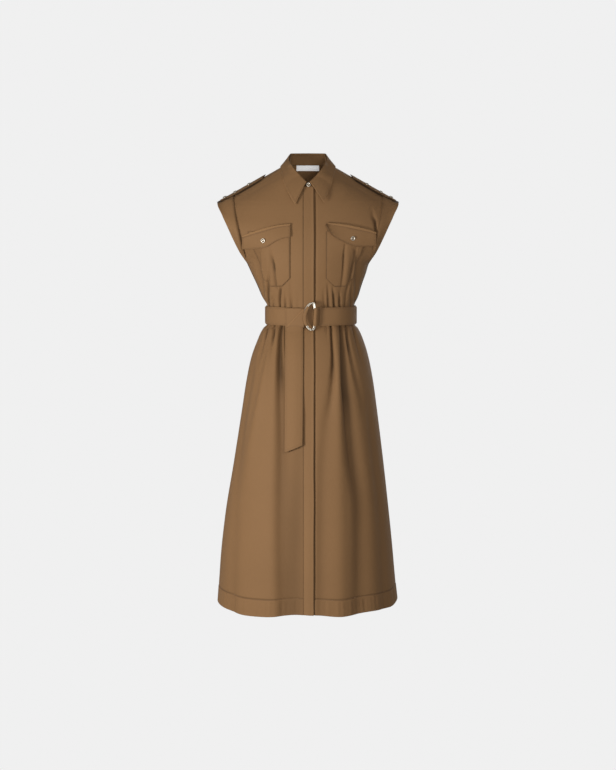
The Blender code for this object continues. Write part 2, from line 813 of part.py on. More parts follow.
def build():
    clear_scene()
    collection = bpy.data.collections.new("shirt_dress")
    bpy.context.scene.collection.children.link(collection)
    bodice_front("bodice_front_right", -1, PLACKET_STITCH_X)
    bodice_front("bodice_front_left", 1, UNDERLAP_X)
    bodice_back()
    sleeve("sleeve_right", -1)
    sleeve("sleeve_left", 1)
    collar_stand()
    collar_leaf()
    neck_label()
    skirt_front("skirt_front_right", -1, PLACKET_STITCH_X)
    skirt_front("skirt_front_left", 1, UNDERLAP_X)
    skirt_back()
    placket("placket_bodice", [h for h in BODICE_HEIGHTS if h < -0.0595])
    placket("placket_skirt", SKIRT_HEIGHTS)
    pocket("pocket_right", -1)
    pocket("pocket_left", 1)
    flap("flap_right", FLAP_RIGHT)
    flap("flap_left", FLAP_LEFT)
    epaulette("epaulette_right", -1)
    epaulette("epaulette_left", 1)
    buttons()
    belt()
    belt_tail()
    belt_turn()
    belt_ring("belt_ring_1", 0.0, 0.0120)
    belt_ring("belt_ring_2", 0.06, 0.0162)
    belt_loop("belt_loop_right", -1)
    belt_loop("belt_loop_left", 1)


build()
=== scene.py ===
"""The looks of a belted shirt dress: every cut piece again, finer than its solid and with its folds.

The wearer's right is -X and the front faces -Y. The origin is the middle of the neck opening.
"""

import math
from collections import namedtuple

import bmesh
import bpy
import numpy as np
from mathutils import Matrix, Vector


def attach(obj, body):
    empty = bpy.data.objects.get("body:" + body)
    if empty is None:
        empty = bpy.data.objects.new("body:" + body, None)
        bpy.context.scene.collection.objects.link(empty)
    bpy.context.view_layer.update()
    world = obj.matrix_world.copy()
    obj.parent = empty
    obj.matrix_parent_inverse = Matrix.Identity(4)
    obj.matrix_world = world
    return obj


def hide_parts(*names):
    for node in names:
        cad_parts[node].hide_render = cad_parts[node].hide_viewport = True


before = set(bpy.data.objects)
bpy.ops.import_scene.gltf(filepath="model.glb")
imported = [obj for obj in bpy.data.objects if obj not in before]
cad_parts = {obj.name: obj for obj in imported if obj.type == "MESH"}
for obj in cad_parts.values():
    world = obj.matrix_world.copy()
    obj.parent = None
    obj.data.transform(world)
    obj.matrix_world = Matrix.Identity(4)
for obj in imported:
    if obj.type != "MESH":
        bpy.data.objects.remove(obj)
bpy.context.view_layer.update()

bl_info = {
    "name": "Belted shirt dress",
    "version": (1, 0, 0),
    "blender": (4, 5, 0),
    "location": "3D View > Sidebar > Dress",
    "description": "Builds a belted, cap-sleeved shirt dress in twill, with its trim and a plain studio",
    "category": "Object",
}

# Walls and gaps
CLOTH = 0.0015
DOUBLE_CLOTH = 0.0022
FOLDED_CLOTH = DOUBLE_CLOTH - 0.0004
SEAM_GAP = 0.0003
LAYER_GAP = 0.0008
SLEEVE_LAP = 0.0050

# Stitch lines, in from the edge of their piece
BELT_STITCH_IN = 0.0040
POCKET_STITCH_IN = 0.0022
COLLAR_STITCH_IN = 0.0055
FLAP_STITCH_IN = 0.0026

# Heights
SHOULDER_SLOPE = 0.567
NECK_POINT_X = 0.060
NECK_POINT_HEIGHT = -0.003
NECK_FRONT_HEIGHT = -0.058
SHOULDER_TIP_HEIGHT = -0.097
UNDERARM_HEIGHT = -0.253
HEM_HEIGHT = -1.142
HEM_DEPTH = 0.043

# Armholes
ARMHOLE_MID_HEIGHT = -0.175
ARMHOLE_HALF_HEIGHT = 0.078
ARMHOLE_HALF_GAP = 0.066
SLEEVE_END_HEIGHT = -0.240
SHOULDER_SEAM_LOW = -0.0773

# Placket: the wearer's right front laps over the left
PLACKET_STITCH_X = -0.0125
PLACKET_EDGE_X = 0.0140
UNDERLAP_X = -0.0095
PLACKET_RISE_WIDTH = 0.040
BODICE_BOTTOM = -0.3868
BODICE_TOP = -0.0080
SKIRT_TOP = -0.3872

# Belt
BELT_TOP = -0.364
BELT_BOTTOM = -0.411
BELT_HALF_WIDTH = 0.1142
BELT_SHIFT = 0.0075
BELT_FRONT = 0.0890
BELT_BACK = 0.0765
BELT_END_X = 0.0215
BELT_START_X = 0.0145
RING_BAR_X = 0.0170
RING_HALF_HEIGHT = 0.0343
RING_WIDTH = 0.0270
RING_WIRE = 0.0018
RING_DROP = -0.0015
RING_STAND_OFFS = (0.0120, 0.0162)
RING_LEANS = (-0.04, 0.07)
TAIL_INNER_X = -0.0135
TAIL_OUTER_X = -0.0590
TAIL_TOP = -0.3660
TAIL_END_INNER = -0.7080
TAIL_END_OUTER = -0.7270

# Trim
STRAP_HALF_WIDTH = 0.0190
STRAP_NECK_X = 0.116
STRAP_TIP_X = 0.226
LOOP_HALF_ANGLE = 4.0
SIDE_SEAM_ANGLE = 89.95
SHOULDER_SEAM_ANGLE = 88.6

# How far past its last station a crease fades out
CREASE_END = 0.004

# The squareness of every horizontal section, and how sharply it closes at its sides
SQUARENESS = 2.2
SIDE_ROUND = 0.5
RIDGE_ROUND = 0.75

Section = namedtuple("Section", "height half_width shift front back")
SECTIONS = (
    Section(0.002, 0.0512, 0.0, 0.053, 0.056),
    Section(-0.034, 0.1147, 0.0, 0.066, 0.070),
    Section(-0.062, 0.1641, 0.0, 0.075, 0.081),
    Section(-0.0885, 0.2135, 0.0, 0.084, 0.089),
    Section(-0.097, 0.2325, 0.0, 0.088, 0.092),
    Section(-0.130, 0.2190, 0.0, 0.098, 0.096),
    Section(-0.161, 0.2045, 0.0, 0.108, 0.098),
    Section(-0.195, 0.1890, 0.0, 0.115, 0.098),
    Section(-0.224, 0.1750, 0.0, 0.117, 0.096),
    Section(-0.253, 0.1580, 0.0, 0.115, 0.092),
    Section(-0.281, 0.1470, 0.0020, 0.109, 0.087),
    Section(-0.309, 0.1355, 0.0036, 0.101, 0.081),
    Section(-0.340, 0.1240, 0.0055, 0.092, 0.076),
    Section(-0.364, 0.1124, 0.0070, 0.0855, 0.0740),
    Section(-0.387, 0.1108, 0.0075, 0.0840, 0.0725),
    Section(-0.411, 0.1124, 0.0072, 0.0855, 0.0740),
    Section(-0.421, 0.1220, 0.0068, 0.0925, 0.0820),
    Section(-0.459, 0.1396, 0.0062, 0.1090, 0.1010),
    Section(-0.497, 0.1520, 0.0050, 0.1210, 0.1150),
    Section(-0.559, 0.1647, 0.0045, 0.1340, 0.1300),
    Section(-0.624, 0.1743, 0.0040, 0.1430, 0.1390),
    Section(-0.772, 0.1953, 0.0016, 0.1560, 0.1520),
    Section(-0.905, 0.2138, -0.0020, 0.1660, 0.1620),
    Section(-1.011, 0.2252, -0.0028, 0.1730, 0.1690),
    Section(-1.079, 0.2306, -0.0023, 0.1765, 0.1730),
    Section(-1.142, 0.2360, -0.0013, 0.1795, 0.1765),
)

ArmholePoint = namedtuple("ArmholePoint", "height x")
ARMHOLE_SEAM = (
    ArmholePoint(-0.0762, 0.1900),
    ArmholePoint(-0.120, 0.1855),
    ArmholePoint(-0.161, 0.1775),
    ArmholePoint(-0.205, 0.1695),
    ArmholePoint(-0.240, 0.1605),
    ArmholePoint(-0.253, 0.1580),
)

NeckPoint = namedtuple("NeckPoint", "height x")
FRONT_NECKLINE = (
    NeckPoint(-0.0580, 0.0000),
    NeckPoint(-0.0530, 0.0170),
    NeckPoint(-0.0440, 0.0300),
    NeckPoint(-0.0290, 0.0440),
    NeckPoint(-0.0130, 0.0550),
    NeckPoint(-0.0030, 0.0600),
)
BACK_NECKLINE = (
    NeckPoint(-0.0030, 0.0600),
    NeckPoint(-0.0016, 0.0480),
    NeckPoint(-0.0008, 0.0300),
    NeckPoint(-0.0005, 0.0000),
)

# Creases as soft troughs: where each one runs over the cloth, how deep it is (a minus depth is a
# ridge), and how far it spreads to its -X side and to its +X side
Station = namedtuple("Station", "x height depth minus_spread plus_spread")
BODICE_FRONT_CREASES = {
    "right pocket pleat": (
        Station(-0.0940, -0.205, 0.0000, 0.0030, 0.0020),
        Station(-0.0905, -0.232, 0.0022, 0.0045, 0.0022),
        Station(-0.0840, -0.260, 0.0046, 0.0055, 0.0022),
        Station(-0.0830, -0.282, 0.0030, 0.0050, 0.0022),
        Station(-0.0800, -0.308, 0.0034, 0.0050, 0.0024),
        Station(-0.0790, -0.330, 0.0000, 0.0050, 0.0030),
    ),
    "right pocket second pleat": (
        Station(-0.0905, -0.242, 0.0000, 0.0040, 0.0040),
        Station(-0.0965, -0.275, 0.0022, 0.0040, 0.0060),
        Station(-0.1025, -0.303, 0.0046, 0.0030, 0.0060),
        Station(-0.1040, -0.330, 0.0060, 0.0030, 0.0055),
        Station(-0.1010, -0.372, 0.0060, 0.0030, 0.0050),
    ),
    "right gather": (
        Station(-0.0685, -0.305, 0.0000, 0.0030, 0.0030),
        Station(-0.0700, -0.325, 0.0050, 0.0045, 0.0022),
        Station(-0.0725, -0.350, 0.0070, 0.0034, 0.0022),
        Station(-0.0720, -0.372, 0.0078, 0.0030, 0.0026),
    ),
    "right side valley": (
        Station(-0.1190, -0.200, 0.0000, 0.0120, 0.0070),
        Station(-0.1240, -0.232, 0.0045, 0.0140, 0.0070),
        Station(-0.1240, -0.262, 0.0060, 0.0130, 0.0080),
        Station(-0.1180, -0.305, 0.0045, 0.0100, 0.0080),
        Station(-0.1130, -0.350, 0.0020, 0.0060, 0.0060),
    ),
    "right dart": (
        Station(-0.1560, -0.224, 0.0000, 0.0016, 0.0016),
        Station(-0.1370, -0.244, 0.0011, 0.0016, 0.0016),
        Station(-0.1240, -0.260, 0.0000, 0.0016, 0.0016),
    ),
    "right soft gather": (
        Station(-0.0440, -0.285, 0.0000, 0.0060, 0.0050),
        Station(-0.0430, -0.335, 0.0024, 0.0044, 0.0030),
        Station(-0.0420, -0.372, 0.0044, 0.0034, 0.0024),
    ),
    "right little gather": (
        Station(-0.0580, -0.318, 0.0000, 0.0030, 0.0030),
        Station(-0.0585, -0.345, 0.0026, 0.0022, 0.0030),
        Station(-0.0590, -0.372, 0.0044, 0.0022, 0.0030),
    ),
    "right short gather": (
        Station(-0.0880, -0.330, 0.0000, 0.0030, 0.0030),
        Station(-0.0895, -0.352, 0.0026, 0.0024, 0.0030),
        Station(-0.0905, -0.372, 0.0042, 0.0022, 0.0030),
    ),
    "right soft gather at the placket": (
        Station(-0.0240, -0.320, 0.0000, 0.0050, 0.0050),
        Station(-0.0250, -0.372, 0.0018, 0.0050, 0.0040),
    ),
    "right ridge by the pleat": (
        Station(-0.1010, -0.215, 0.0000, 0.0080, 0.0080),
        Station(-0.1010, -0.250, -0.0022, 0.0080, 0.0070),
        Station(-0.0930, -0.300, -0.0010, 0.0060, 0.0060),
        Station(-0.0920, -0.340, -0.0018, 0.0060, 0.0060),
    ),
    "left pocket pleat": (
        Station(0.0930, -0.205, 0.0012, 0.0030, 0.0045),
        Station(0.0890, -0.236, 0.0034, 0.0026, 0.0050),
        Station(0.0872, -0.276, 0.0026, 0.0026, 0.0050),
        Station(0.0840, -0.306, 0.0014, 0.0030, 0.0050),
        Station(0.0835, -0.325, 0.0000, 0.0030, 0.0050),
    ),
    "left pocket second pleat": (
        Station(0.1225, -0.208, 0.0006, 0.0060, 0.0030),
        Station(0.1170, -0.240, 0.0024, 0.0050, 0.0028),
        Station(0.1125, -0.262, 0.0042, 0.0050, 0.0028),
        Station(0.1040, -0.305, 0.0030, 0.0050, 0.0030),
        Station(0.0970, -0.335, 0.0024, 0.0040, 0.0040),
        Station(0.0935, -0.372, 0.0050, 0.0026, 0.0034),
    ),
    "left side valley": (
        Station(0.1140, -0.205, 0.0000, 0.0070, 0.0120),
        Station(0.1230, -0.240, 0.0040, 0.0070, 0.0130),
        Station(0.1245, -0.275, 0.0062, 0.0080, 0.0120),
        Station(0.1250, -0.312, 0.0050, 0.0080, 0.0080),
        Station(0.1200, -0.350, 0.0030, 0.0050, 0.0050),
    ),
    "left dart": (
        Station(0.1470, -0.256, 0.0000, 0.0016, 0.0016),
        Station(0.1345, -0.270, 0.0011, 0.0016, 0.0016),
        Station(0.1230, -0.281, 0.0000, 0.0016, 0.0016),
    ),
    "left gather 1": (
        Station(0.0490, -0.300, 0.0000, 0.0030, 0.0040),
        Station(0.0510, -0.325, 0.0030, 0.0030, 0.0050),
        Station(0.0525, -0.372, 0.0052, 0.0030, 0.0040),
    ),
    "left gather 2": (
        Station(0.0625, -0.308, 0.0000, 0.0030, 0.0030),
        Station(0.0650, -0.338, 0.0050, 0.0022, 0.0044),
        Station(0.0675, -0.372, 0.0074, 0.0022, 0.0044),
    ),
    "left gather 3": (
        Station(0.0805, -0.318, 0.0000, 0.0030, 0.0030),
        Station(0.0805, -0.345, 0.0044, 0.0022, 0.0034),
        Station(0.0815, -0.372, 0.0066, 0.0022, 0.0034),
    ),
    "left gather 4": (
        Station(0.1120, -0.305, 0.0000, 0.0040, 0.0040),
        Station(0.1110, -0.330, 0.0034, 0.0034, 0.0034),
        Station(0.1090, -0.372, 0.0056, 0.0030, 0.0030),
    ),
    "left soft gather": (
        Station(0.0400, -0.310, 0.0000, 0.0040, 0.0030),
        Station(0.0425, -0.372, 0.0040, 0.0040, 0.0030),
    ),
    "left ridge by the pleats": (
        Station(0.1040, -0.215, 0.0000, 0.0070, 0.0070),
        Station(0.1000, -0.255, -0.0018, 0.0070, 0.0070),
        Station(0.0930, -0.310, -0.0010, 0.0060, 0.0060),
    ),
    "left armhole fold": (
        Station(0.1600, -0.105, 0.0000, 0.0060, 0.0040),
        Station(0.1665, -0.131, 0.0022, 0.0080, 0.0030),
        Station(0.1722, -0.150, 0.0060, 0.0060, 0.0024),
        Station(0.1728, -0.168, 0.0070, 0.0040, 0.0024),
        Station(0.1705, -0.190, 0.0046, 0.0040, 0.0030),
        Station(0.1640, -0.225, 0.0000, 0.0040, 0.0030),
    ),
    "right armhole shadow": (
        Station(-0.1905, -0.072, 0.0000, 0.0020, 0.0020),
        Station(-0.1870, -0.105, 0.0016, 0.0022, 0.0022),
        Station(-0.1790, -0.150, 0.0034, 0.0028, 0.0030),
        Station(-0.1715, -0.190, 0.0058, 0.0032, 0.0036),
        Station(-0.1640, -0.225, 0.0050, 0.0034, 0.0036),
        Station(-0.1580, -0.253, 0.0020, 0.0034, 0.0036),
    ),
}
UNDERLAP_CREASE = {
    "shadow beside the placket": (
        Station(0.0160, -0.060, 0.0026, 0.0060, 0.0022),
        Station(0.0168, -0.100, 0.0040, 0.0060, 0.0030),
        Station(0.0170, -0.250, 0.0042, 0.0060, 0.0030),
        Station(0.0168, -0.372, 0.0036, 0.0060, 0.0026),
        Station(0.0165, -0.430, 0.0032, 0.0060, 0.0022),
        Station(0.0165, -0.700, 0.0036, 0.0060, 0.0022),
        Station(0.0165, -1.000, 0.0032, 0.0060, 0.0020),
        Station(0.0160, -1.142, 0.0026, 0.0060, 0.0020),
    ),
}
SKIRT_FRONT_CREASES = {
    "right side gather": (
        Station(-0.1010, -0.400, 0.0074, 0.0030, 0.0044),
        Station(-0.1085, -0.432, 0.0074, 0.0034, 0.0050),
        Station(-0.1190, -0.470, 0.0034, 0.0070, 0.0070),
        Station(-0.1300, -0.520, 0.0000, 0.0100, 0.0100),
    ),
    "right great fold": (
        Station(-0.0680, -0.400, 0.0086, 0.0034, 0.0060),
        Station(-0.0740, -0.440, 0.0110, 0.0034, 0.0080),
        Station(-0.0760, -0.500, 0.0130, 0.0050, 0.0140),
        Station(-0.0730, -0.595, 0.0130, 0.0100, 0.0220),
        Station(-0.0690, -0.720, 0.0120, 0.0140, 0.0200),
        Station(-0.0700, -0.900, 0.0080, 0.0150, 0.0220),
        Station(-0.0660, -1.142, 0.0060, 0.0150, 0.0220),
    ),
    "right fold under the tail": (
        Station(-0.0600, -0.400, 0.0050, 0.0030, 0.0040),
        Station(-0.0600, -0.450, 0.0050, 0.0030, 0.0050),
        Station(-0.0560, -0.540, 0.0020, 0.0060, 0.0080),
        Station(-0.0540, -0.640, 0.0000, 0.0080, 0.0100),
    ),
    "right little gather": (
        Station(-0.0860, -0.400, 0.0070, 0.0026, 0.0034),
        Station(-0.0890, -0.432, 0.0066, 0.0030, 0.0044),
        Station(-0.0960, -0.480, 0.0030, 0.0050, 0.0060),
        Station(-0.1030, -0.540, 0.0000, 0.0070, 0.0080),
    ),
    "right pale ridge": (
        Station(-0.0890, -0.440, -0.0016, 0.0060, 0.0060),
        Station(-0.1020, -0.500, -0.0046, 0.0090, 0.0120),
        Station(-0.1240, -0.610, -0.0060, 0.0140, 0.0180),
        Station(-0.1480, -0.740, -0.0040, 0.0200, 0.0240),
        Station(-0.1560, -0.860, 0.0000, 0.0240, 0.0240),
    ),
    "right flank hollow": (
        Station(-0.1330, -0.470, 0.0000, 0.0100, 0.0100),
        Station(-0.1480, -0.560, 0.0030, 0.0140, 0.0140),
        Station(-0.1680, -0.680, 0.0036, 0.0160, 0.0160),
        Station(-0.1850, -0.860, 0.0024, 0.0200, 0.0200),
        Station(-0.1950, -1.142, 0.0040, 0.0200, 0.0200),
    ),
    "centre hollow": (
        Station(-0.0180, -0.600, 0.0000, 0.0340, 0.0300),
        Station(-0.0240, -0.760, 0.0080, 0.0380, 0.0300),
        Station(-0.0300, -0.940, 0.0140, 0.0360, 0.0300),
        Station(-0.0330, -1.142, 0.0165, 0.0340, 0.0320),
    ),
    "left first fold": (
        Station(0.0585, -0.400, 0.0060, 0.0028, 0.0030),
        Station(0.0605, -0.440, 0.0070, 0.0030, 0.0030),
        Station(0.0640, -0.500, 0.0074, 0.0050, 0.0036),
        Station(0.0645, -0.545, 0.0060, 0.0090, 0.0050),
        Station(0.0580, -0.600, 0.0044, 0.0120, 0.0090),
        Station(0.0470, -0.660, 0.0030, 0.0150, 0.0140),
        Station(0.0370, -0.800, 0.0046, 0.0180, 0.0180),
        Station(0.0340, -1.000, 0.0056, 0.0180, 0.0200),
        Station(0.0320, -1.142, 0.0050, 0.0180, 0.0200),
    ),
    "left ridge between folds": (
        Station(0.0700, -0.410, -0.0016, 0.0060, 0.0060),
        Station(0.0760, -0.520, -0.0034, 0.0080, 0.0080),
        Station(0.0780, -0.650, -0.0040, 0.0140, 0.0140),
        Station(0.0820, -0.860, -0.0036, 0.0200, 0.0180),
        Station(0.0840, -1.142, -0.0040, 0.0240, 0.0200),
    ),
    "left great fold": (
        Station(0.0820, -0.400, 0.0080, 0.0028, 0.0060),
        Station(0.0845, -0.450, 0.0110, 0.0030, 0.0100),
        Station(0.0880, -0.530, 0.0135, 0.0044, 0.0160),
        Station(0.0960, -0.610, 0.0140, 0.0080, 0.0220),
        Station(0.1110, -0.740, 0.0135, 0.0140, 0.0260),
        Station(0.1310, -0.880, 0.0090, 0.0180, 0.0280),
        Station(0.1330, -1.142, 0.0070, 0.0220, 0.0300),
    ),
    "left slanting fold": (
        Station(0.0955, -0.400, 0.0064, 0.0024, 0.0040),
        Station(0.1015, -0.450, 0.0070, 0.0030, 0.0060),
        Station(0.1150, -0.510, 0.0044, 0.0060, 0.0080),
        Station(0.1320, -0.580, 0.0022, 0.0100, 0.0120),
        Station(0.1480, -0.660, 0.0000, 0.0120, 0.0140),
    ),
    "left little gather": (
        Station(0.0480, -0.400, 0.0024, 0.0030, 0.0030),
        Station(0.0480, -0.445, 0.0000, 0.0030, 0.0030),
    ),
    "left side gather": (
        Station(0.1100, -0.400, 0.0060, 0.0024, 0.0034),
        Station(0.1210, -0.440, 0.0056, 0.0034, 0.0050),
        Station(0.1360, -0.500, 0.0014, 0.0070, 0.0080),
        Station(0.1450, -0.540, 0.0000, 0.0080, 0.0080),
    ),
    "left flank hollow": (
        Station(0.1500, -0.560, 0.0000, 0.0120, 0.0120),
        Station(0.1640, -0.700, 0.0034, 0.0160, 0.0160),
        Station(0.1860, -0.900, 0.0040, 0.0200, 0.0180),
        Station(0.1980, -1.142, 0.0040, 0.0200, 0.0180),
    ),
}
BODICE_BACK_CREASES = {
    "back gather 1": (
        Station(-0.0900, -0.285, 0.0000, 0.0050, 0.0050),
        Station(-0.0860, -0.335, 0.0034, 0.0040, 0.0050),
        Station(-0.0840, -0.372, 0.0056, 0.0034, 0.0040),
    ),
    "back gather 2": (
        Station(-0.0560, -0.250, 0.0000, 0.0070, 0.0060),
        Station(-0.0500, -0.320, 0.0036, 0.0050, 0.0036),
        Station(-0.0480, -0.372, 0.0060, 0.0040, 0.0030),
    ),
    "back gather 3": (
        Station(-0.0250, -0.300, 0.0000, 0.0050, 0.0050),
        Station(-0.0230, -0.345, 0.0026, 0.0034, 0.0044),
        Station(-0.0220, -0.372, 0.0044, 0.0034, 0.0040),
    ),
    "back gather 4": (
        Station(0.0080, -0.262, 0.0000, 0.0060, 0.0060),
        Station(0.0100, -0.330, 0.0032, 0.0036, 0.0060),
        Station(0.0115, -0.372, 0.0056, 0.0034, 0.0050),
    ),
    "back gather 5": (
        Station(0.0460, -0.295, 0.0000, 0.0050, 0.0050),
        Station(0.0440, -0.340, 0.0030, 0.0046, 0.0034),
        Station(0.0430, -0.372, 0.0050, 0.0040, 0.0030),
    ),
    "back gather 6": (
        Station(0.0760, -0.255, 0.0000, 0.0070, 0.0070),
        Station(0.0740, -0.325, 0.0040, 0.0050, 0.0044),
        Station(0.0720, -0.372, 0.0060, 0.0040, 0.0034),
    ),
    "back gather 7": (
        Station(0.1030, -0.300, 0.0000, 0.0050, 0.0050),
        Station(0.0990, -0.372, 0.0044, 0.0040, 0.0034),
    ),
    "back blade hollow": (
        Station(-0.0200, -0.080, 0.0000, 0.0300, 0.0300),
        Station(0.0000, -0.180, 0.0034, 0.0340, 0.0340),
        Station(0.0050, -0.290, 0.0000, 0.0340, 0.0340),
    ),
    "back right armhole fold": (
        Station(-0.1600, -0.150, 0.0000, 0.0060, 0.0060),
        Station(-0.1380, -0.205, 0.0032, 0.0070, 0.0090),
        Station(-0.1150, -0.262, 0.0000, 0.0090, 0.0100),
    ),
    "back left armhole fold": (
        Station(0.1620, -0.140, 0.0000, 0.0060, 0.0060),
        Station(0.1420, -0.195, 0.0036, 0.0090, 0.0070),
        Station(0.1240, -0.250, 0.0000, 0.0100, 0.0090),
    ),
}
SKIRT_BACK_CREASES = {
    "back fold 1": (
        Station(-0.0980, -0.400, 0.0050, 0.0034, 0.0050),
        Station(-0.1120, -0.450, 0.0064, 0.0050, 0.0080),
        Station(-0.1300, -0.560, 0.0070, 0.0100, 0.0140),
        Station(-0.1560, -0.760, 0.0066, 0.0160, 0.0220),
        Station(-0.1760, -1.142, 0.0070, 0.0200, 0.0260),
    ),
    "back fold 2": (
        Station(-0.0640, -0.400, 0.0080, 0.0040, 0.0034),
        Station(-0.0700, -0.450, 0.0096, 0.0080, 0.0040),
        Station(-0.0780, -0.560, 0.0110, 0.0160, 0.0070),
        Station(-0.0900, -0.760, 0.0110, 0.0260, 0.0140),
        Station(-0.1020, -1.142, 0.0090, 0.0320, 0.0200),
    ),
    "back fold 3": (
        Station(-0.0360, -0.400, 0.0060, 0.0034, 0.0034),
        Station(-0.0370, -0.460, 0.0060, 0.0050, 0.0060),
        Station(-0.0400, -0.580, 0.0022, 0.0090, 0.0090),
        Station(-0.0420, -0.700, 0.0000, 0.0110, 0.0110),
    ),
    "back fold 4": (
        Station(-0.0130, -0.400, 0.0070, 0.0034, 0.0040),
        Station(-0.0150, -0.460, 0.0086, 0.0044, 0.0090),
        Station(-0.0190, -0.600, 0.0096, 0.0100, 0.0180),
        Station(-0.0240, -0.820, 0.0100, 0.0160, 0.0260),
        Station(-0.0300, -1.142, 0.0086, 0.0200, 0.0300),
    ),
    "back fold 5": (
        Station(0.0180, -0.400, 0.0056, 0.0030, 0.0034),
        Station(0.0210, -0.450, 0.0046, 0.0050, 0.0060),
        Station(0.0270, -0.540, 0.0000, 0.0080, 0.0080),
    ),
    "back fold 6": (
        Station(0.0380, -0.400, 0.0076, 0.0040, 0.0034),
        Station(0.0400, -0.460, 0.0100, 0.0090, 0.0044),
        Station(0.0440, -0.600, 0.0116, 0.0190, 0.0090),
        Station(0.0510, -0.820, 0.0110, 0.0280, 0.0150),
        Station(0.0560, -1.142, 0.0096, 0.0320, 0.0200),
    ),
    "back fold 7": (
        Station(0.0700, -0.400, 0.0060, 0.0034, 0.0040),
        Station(0.0740, -0.450, 0.0066, 0.0044, 0.0060),
        Station(0.0860, -0.540, 0.0036, 0.0080, 0.0090),
        Station(0.0960, -0.660, 0.0000, 0.0110, 0.0120),
    ),
    "back fold 8": (
        Station(0.0980, -0.400, 0.0064, 0.0034, 0.0040),
        Station(0.1070, -0.450, 0.0080, 0.0044, 0.0080),
        Station(0.1230, -0.580, 0.0090, 0.0090, 0.0160),
        Station(0.1450, -0.800, 0.0086, 0.0160, 0.0240),
        Station(0.1580, -1.142, 0.0076, 0.0200, 0.0280),
    ),
    "back ridge 1": (
        Station(-0.0540, -0.430, -0.0014, 0.0070, 0.0070),
        Station(-0.0600, -0.700, -0.0040, 0.0160, 0.0140),
        Station(-0.0640, -1.142, -0.0040, 0.0200, 0.0180),
    ),
    "back ridge 2": (
        Station(0.0900, -0.450, -0.0012, 0.0070, 0.0070),
        Station(0.1050, -0.720, -0.0036, 0.0160, 0.0160),
        Station(0.1120, -1.142, -0.0036, 0.0180, 0.0180),
    ),
}

# Pocket flap edges, from the placket side outwards; heights of the two edges
FlapStation = namedtuple("FlapStation", "x top bottom lift")
FLAP_RIGHT = (
    FlapStation(-0.0440, -0.1540, -0.1870, 0.0030),
    FlapStation(-0.0620, -0.1555, -0.1900, 0.0024),
    FlapStation(-0.0830, -0.1585, -0.1980, 0.0020),
    FlapStation(-0.1050, -0.1635, -0.2105, 0.0018),
    FlapStation(-0.1240, -0.1690, -0.2130, 0.0020),
    FlapStation(-0.1460, -0.1760, -0.2135, 0.0024),
    FlapStation(-0.1650, -0.1825, -0.2130, 0.0028),
)
FLAP_LEFT = (
    FlapStation(0.0455, -0.1515, -0.1600, 0.0070),
    FlapStation(0.0520, -0.1518, -0.1730, 0.0066),
    FlapStation(0.0630, -0.1525, -0.1835, 0.0052),
    FlapStation(0.0840, -0.1545, -0.1955, 0.0028),
    FlapStation(0.1060, -0.1580, -0.2050, 0.0018),
    FlapStation(0.1260, -0.1620, -0.2080, 0.0020),
    FlapStation(0.1480, -0.1670, -0.2070, 0.0024),
    FlapStation(0.1700, -0.1735, -0.2050, 0.0028),
)
POCKET_INNER_X = 0.0450
POCKET_OUTER_TOP_X = 0.1520
POCKET_OUTER_BOTTOM_X = 0.1130
POCKET_TOP = -0.172
POCKET_BOTTOM = -0.3105
POCKET_CHAMFER = 0.021
POCKET_GAP = 0.0012

# The neck as half rings from the front to the centre back
CollarStation = namedtuple("CollarStation", "around x y height")
FOLD_LINE = (
    CollarStation(0.00, 0.0045, -0.0800, -0.0475),
    CollarStation(0.20, 0.0205, -0.0650, -0.0310),
    CollarStation(0.40, 0.0370, -0.0390, -0.0110),
    CollarStation(0.58, 0.0470, -0.0030, 0.0110),
    CollarStation(0.80, 0.0440, 0.0370, 0.0275),
    CollarStation(1.00, 0.0000, 0.0560, 0.0290),
)
LEAF_EDGE = (
    CollarStation(0.00, 0.0365, -0.0990, -0.1030),
    CollarStation(0.20, 0.0480, -0.0880, -0.0800),
    CollarStation(0.40, 0.0640, -0.0560, -0.0420),
    CollarStation(0.58, 0.0715, -0.0050, -0.0070),
    CollarStation(0.80, 0.0600, 0.0500, -0.0080),
    CollarStation(1.00, 0.0000, 0.0780, -0.0120),
)


# --- The body form -------------------------------------------------------------------------------


def smooth_column(places, values):
    """A curve through the rows of a table that never swings past them."""
    order = np.argsort(places)
    x = np.asarray(places, float)[order]
    y = np.asarray(values, float)[order]
    step = np.diff(x)
    rise = np.diff(y) / step
    slope = np.zeros(len(x))
    slope[0] = rise[0]
    slope[-1] = rise[-1]
    for i in range(1, len(x) - 1):
        if rise[i - 1] * rise[i] > 0:
            before = 2 * step[i] + step[i - 1]
            after = step[i] + 2 * step[i - 1]
            slope[i] = (before + after) / (before / rise[i - 1] + after / rise[i])

    def value(at):
        at = np.clip(at, x[0], x[-1])
        i = np.clip(np.searchsorted(x, at, side="right") - 1, 0, len(step) - 1)
        t = (at - x[i]) / step[i]
        return (
            (1 + 2 * t) * (1 - t) ** 2 * y[i]
            + t * (1 - t) ** 2 * step[i] * slope[i]
            + t * t * (3 - 2 * t) * y[i + 1]
            + t * t * (t - 1) * step[i] * slope[i + 1]
        )

    return value


def table_columns(rows, key):
    places = [getattr(row, key) for row in rows]
    names = [name for name in rows[0]._fields if name != key]
    return {name: smooth_column(places, [getattr(row, name) for row in rows]) for name in names}


SECTION = table_columns(SECTIONS, "height")
ARMHOLE_X = table_columns(ARMHOLE_SEAM, "height")["x"]
FRONT_NECK_X = table_columns(FRONT_NECKLINE, "height")["x"]
BACK_NECK_HEIGHT = smooth_column([p.x for p in BACK_NECKLINE], [p.height for p in BACK_NECKLINE])
FOLD_AT = table_columns(FOLD_LINE, "around")
LEAF_AT = table_columns(LEAF_EDGE, "around")
FRONT_SHARE = 0.58


def crease_curves(creases):
    """Each crease's table as curves down its height, with the heights that it starts and ends at."""
    made = []
    for stations in creases.values():
        heights = [station.height for station in stations]
        made.append((table_columns(stations, "height"), min(heights), max(heights)))
    return made


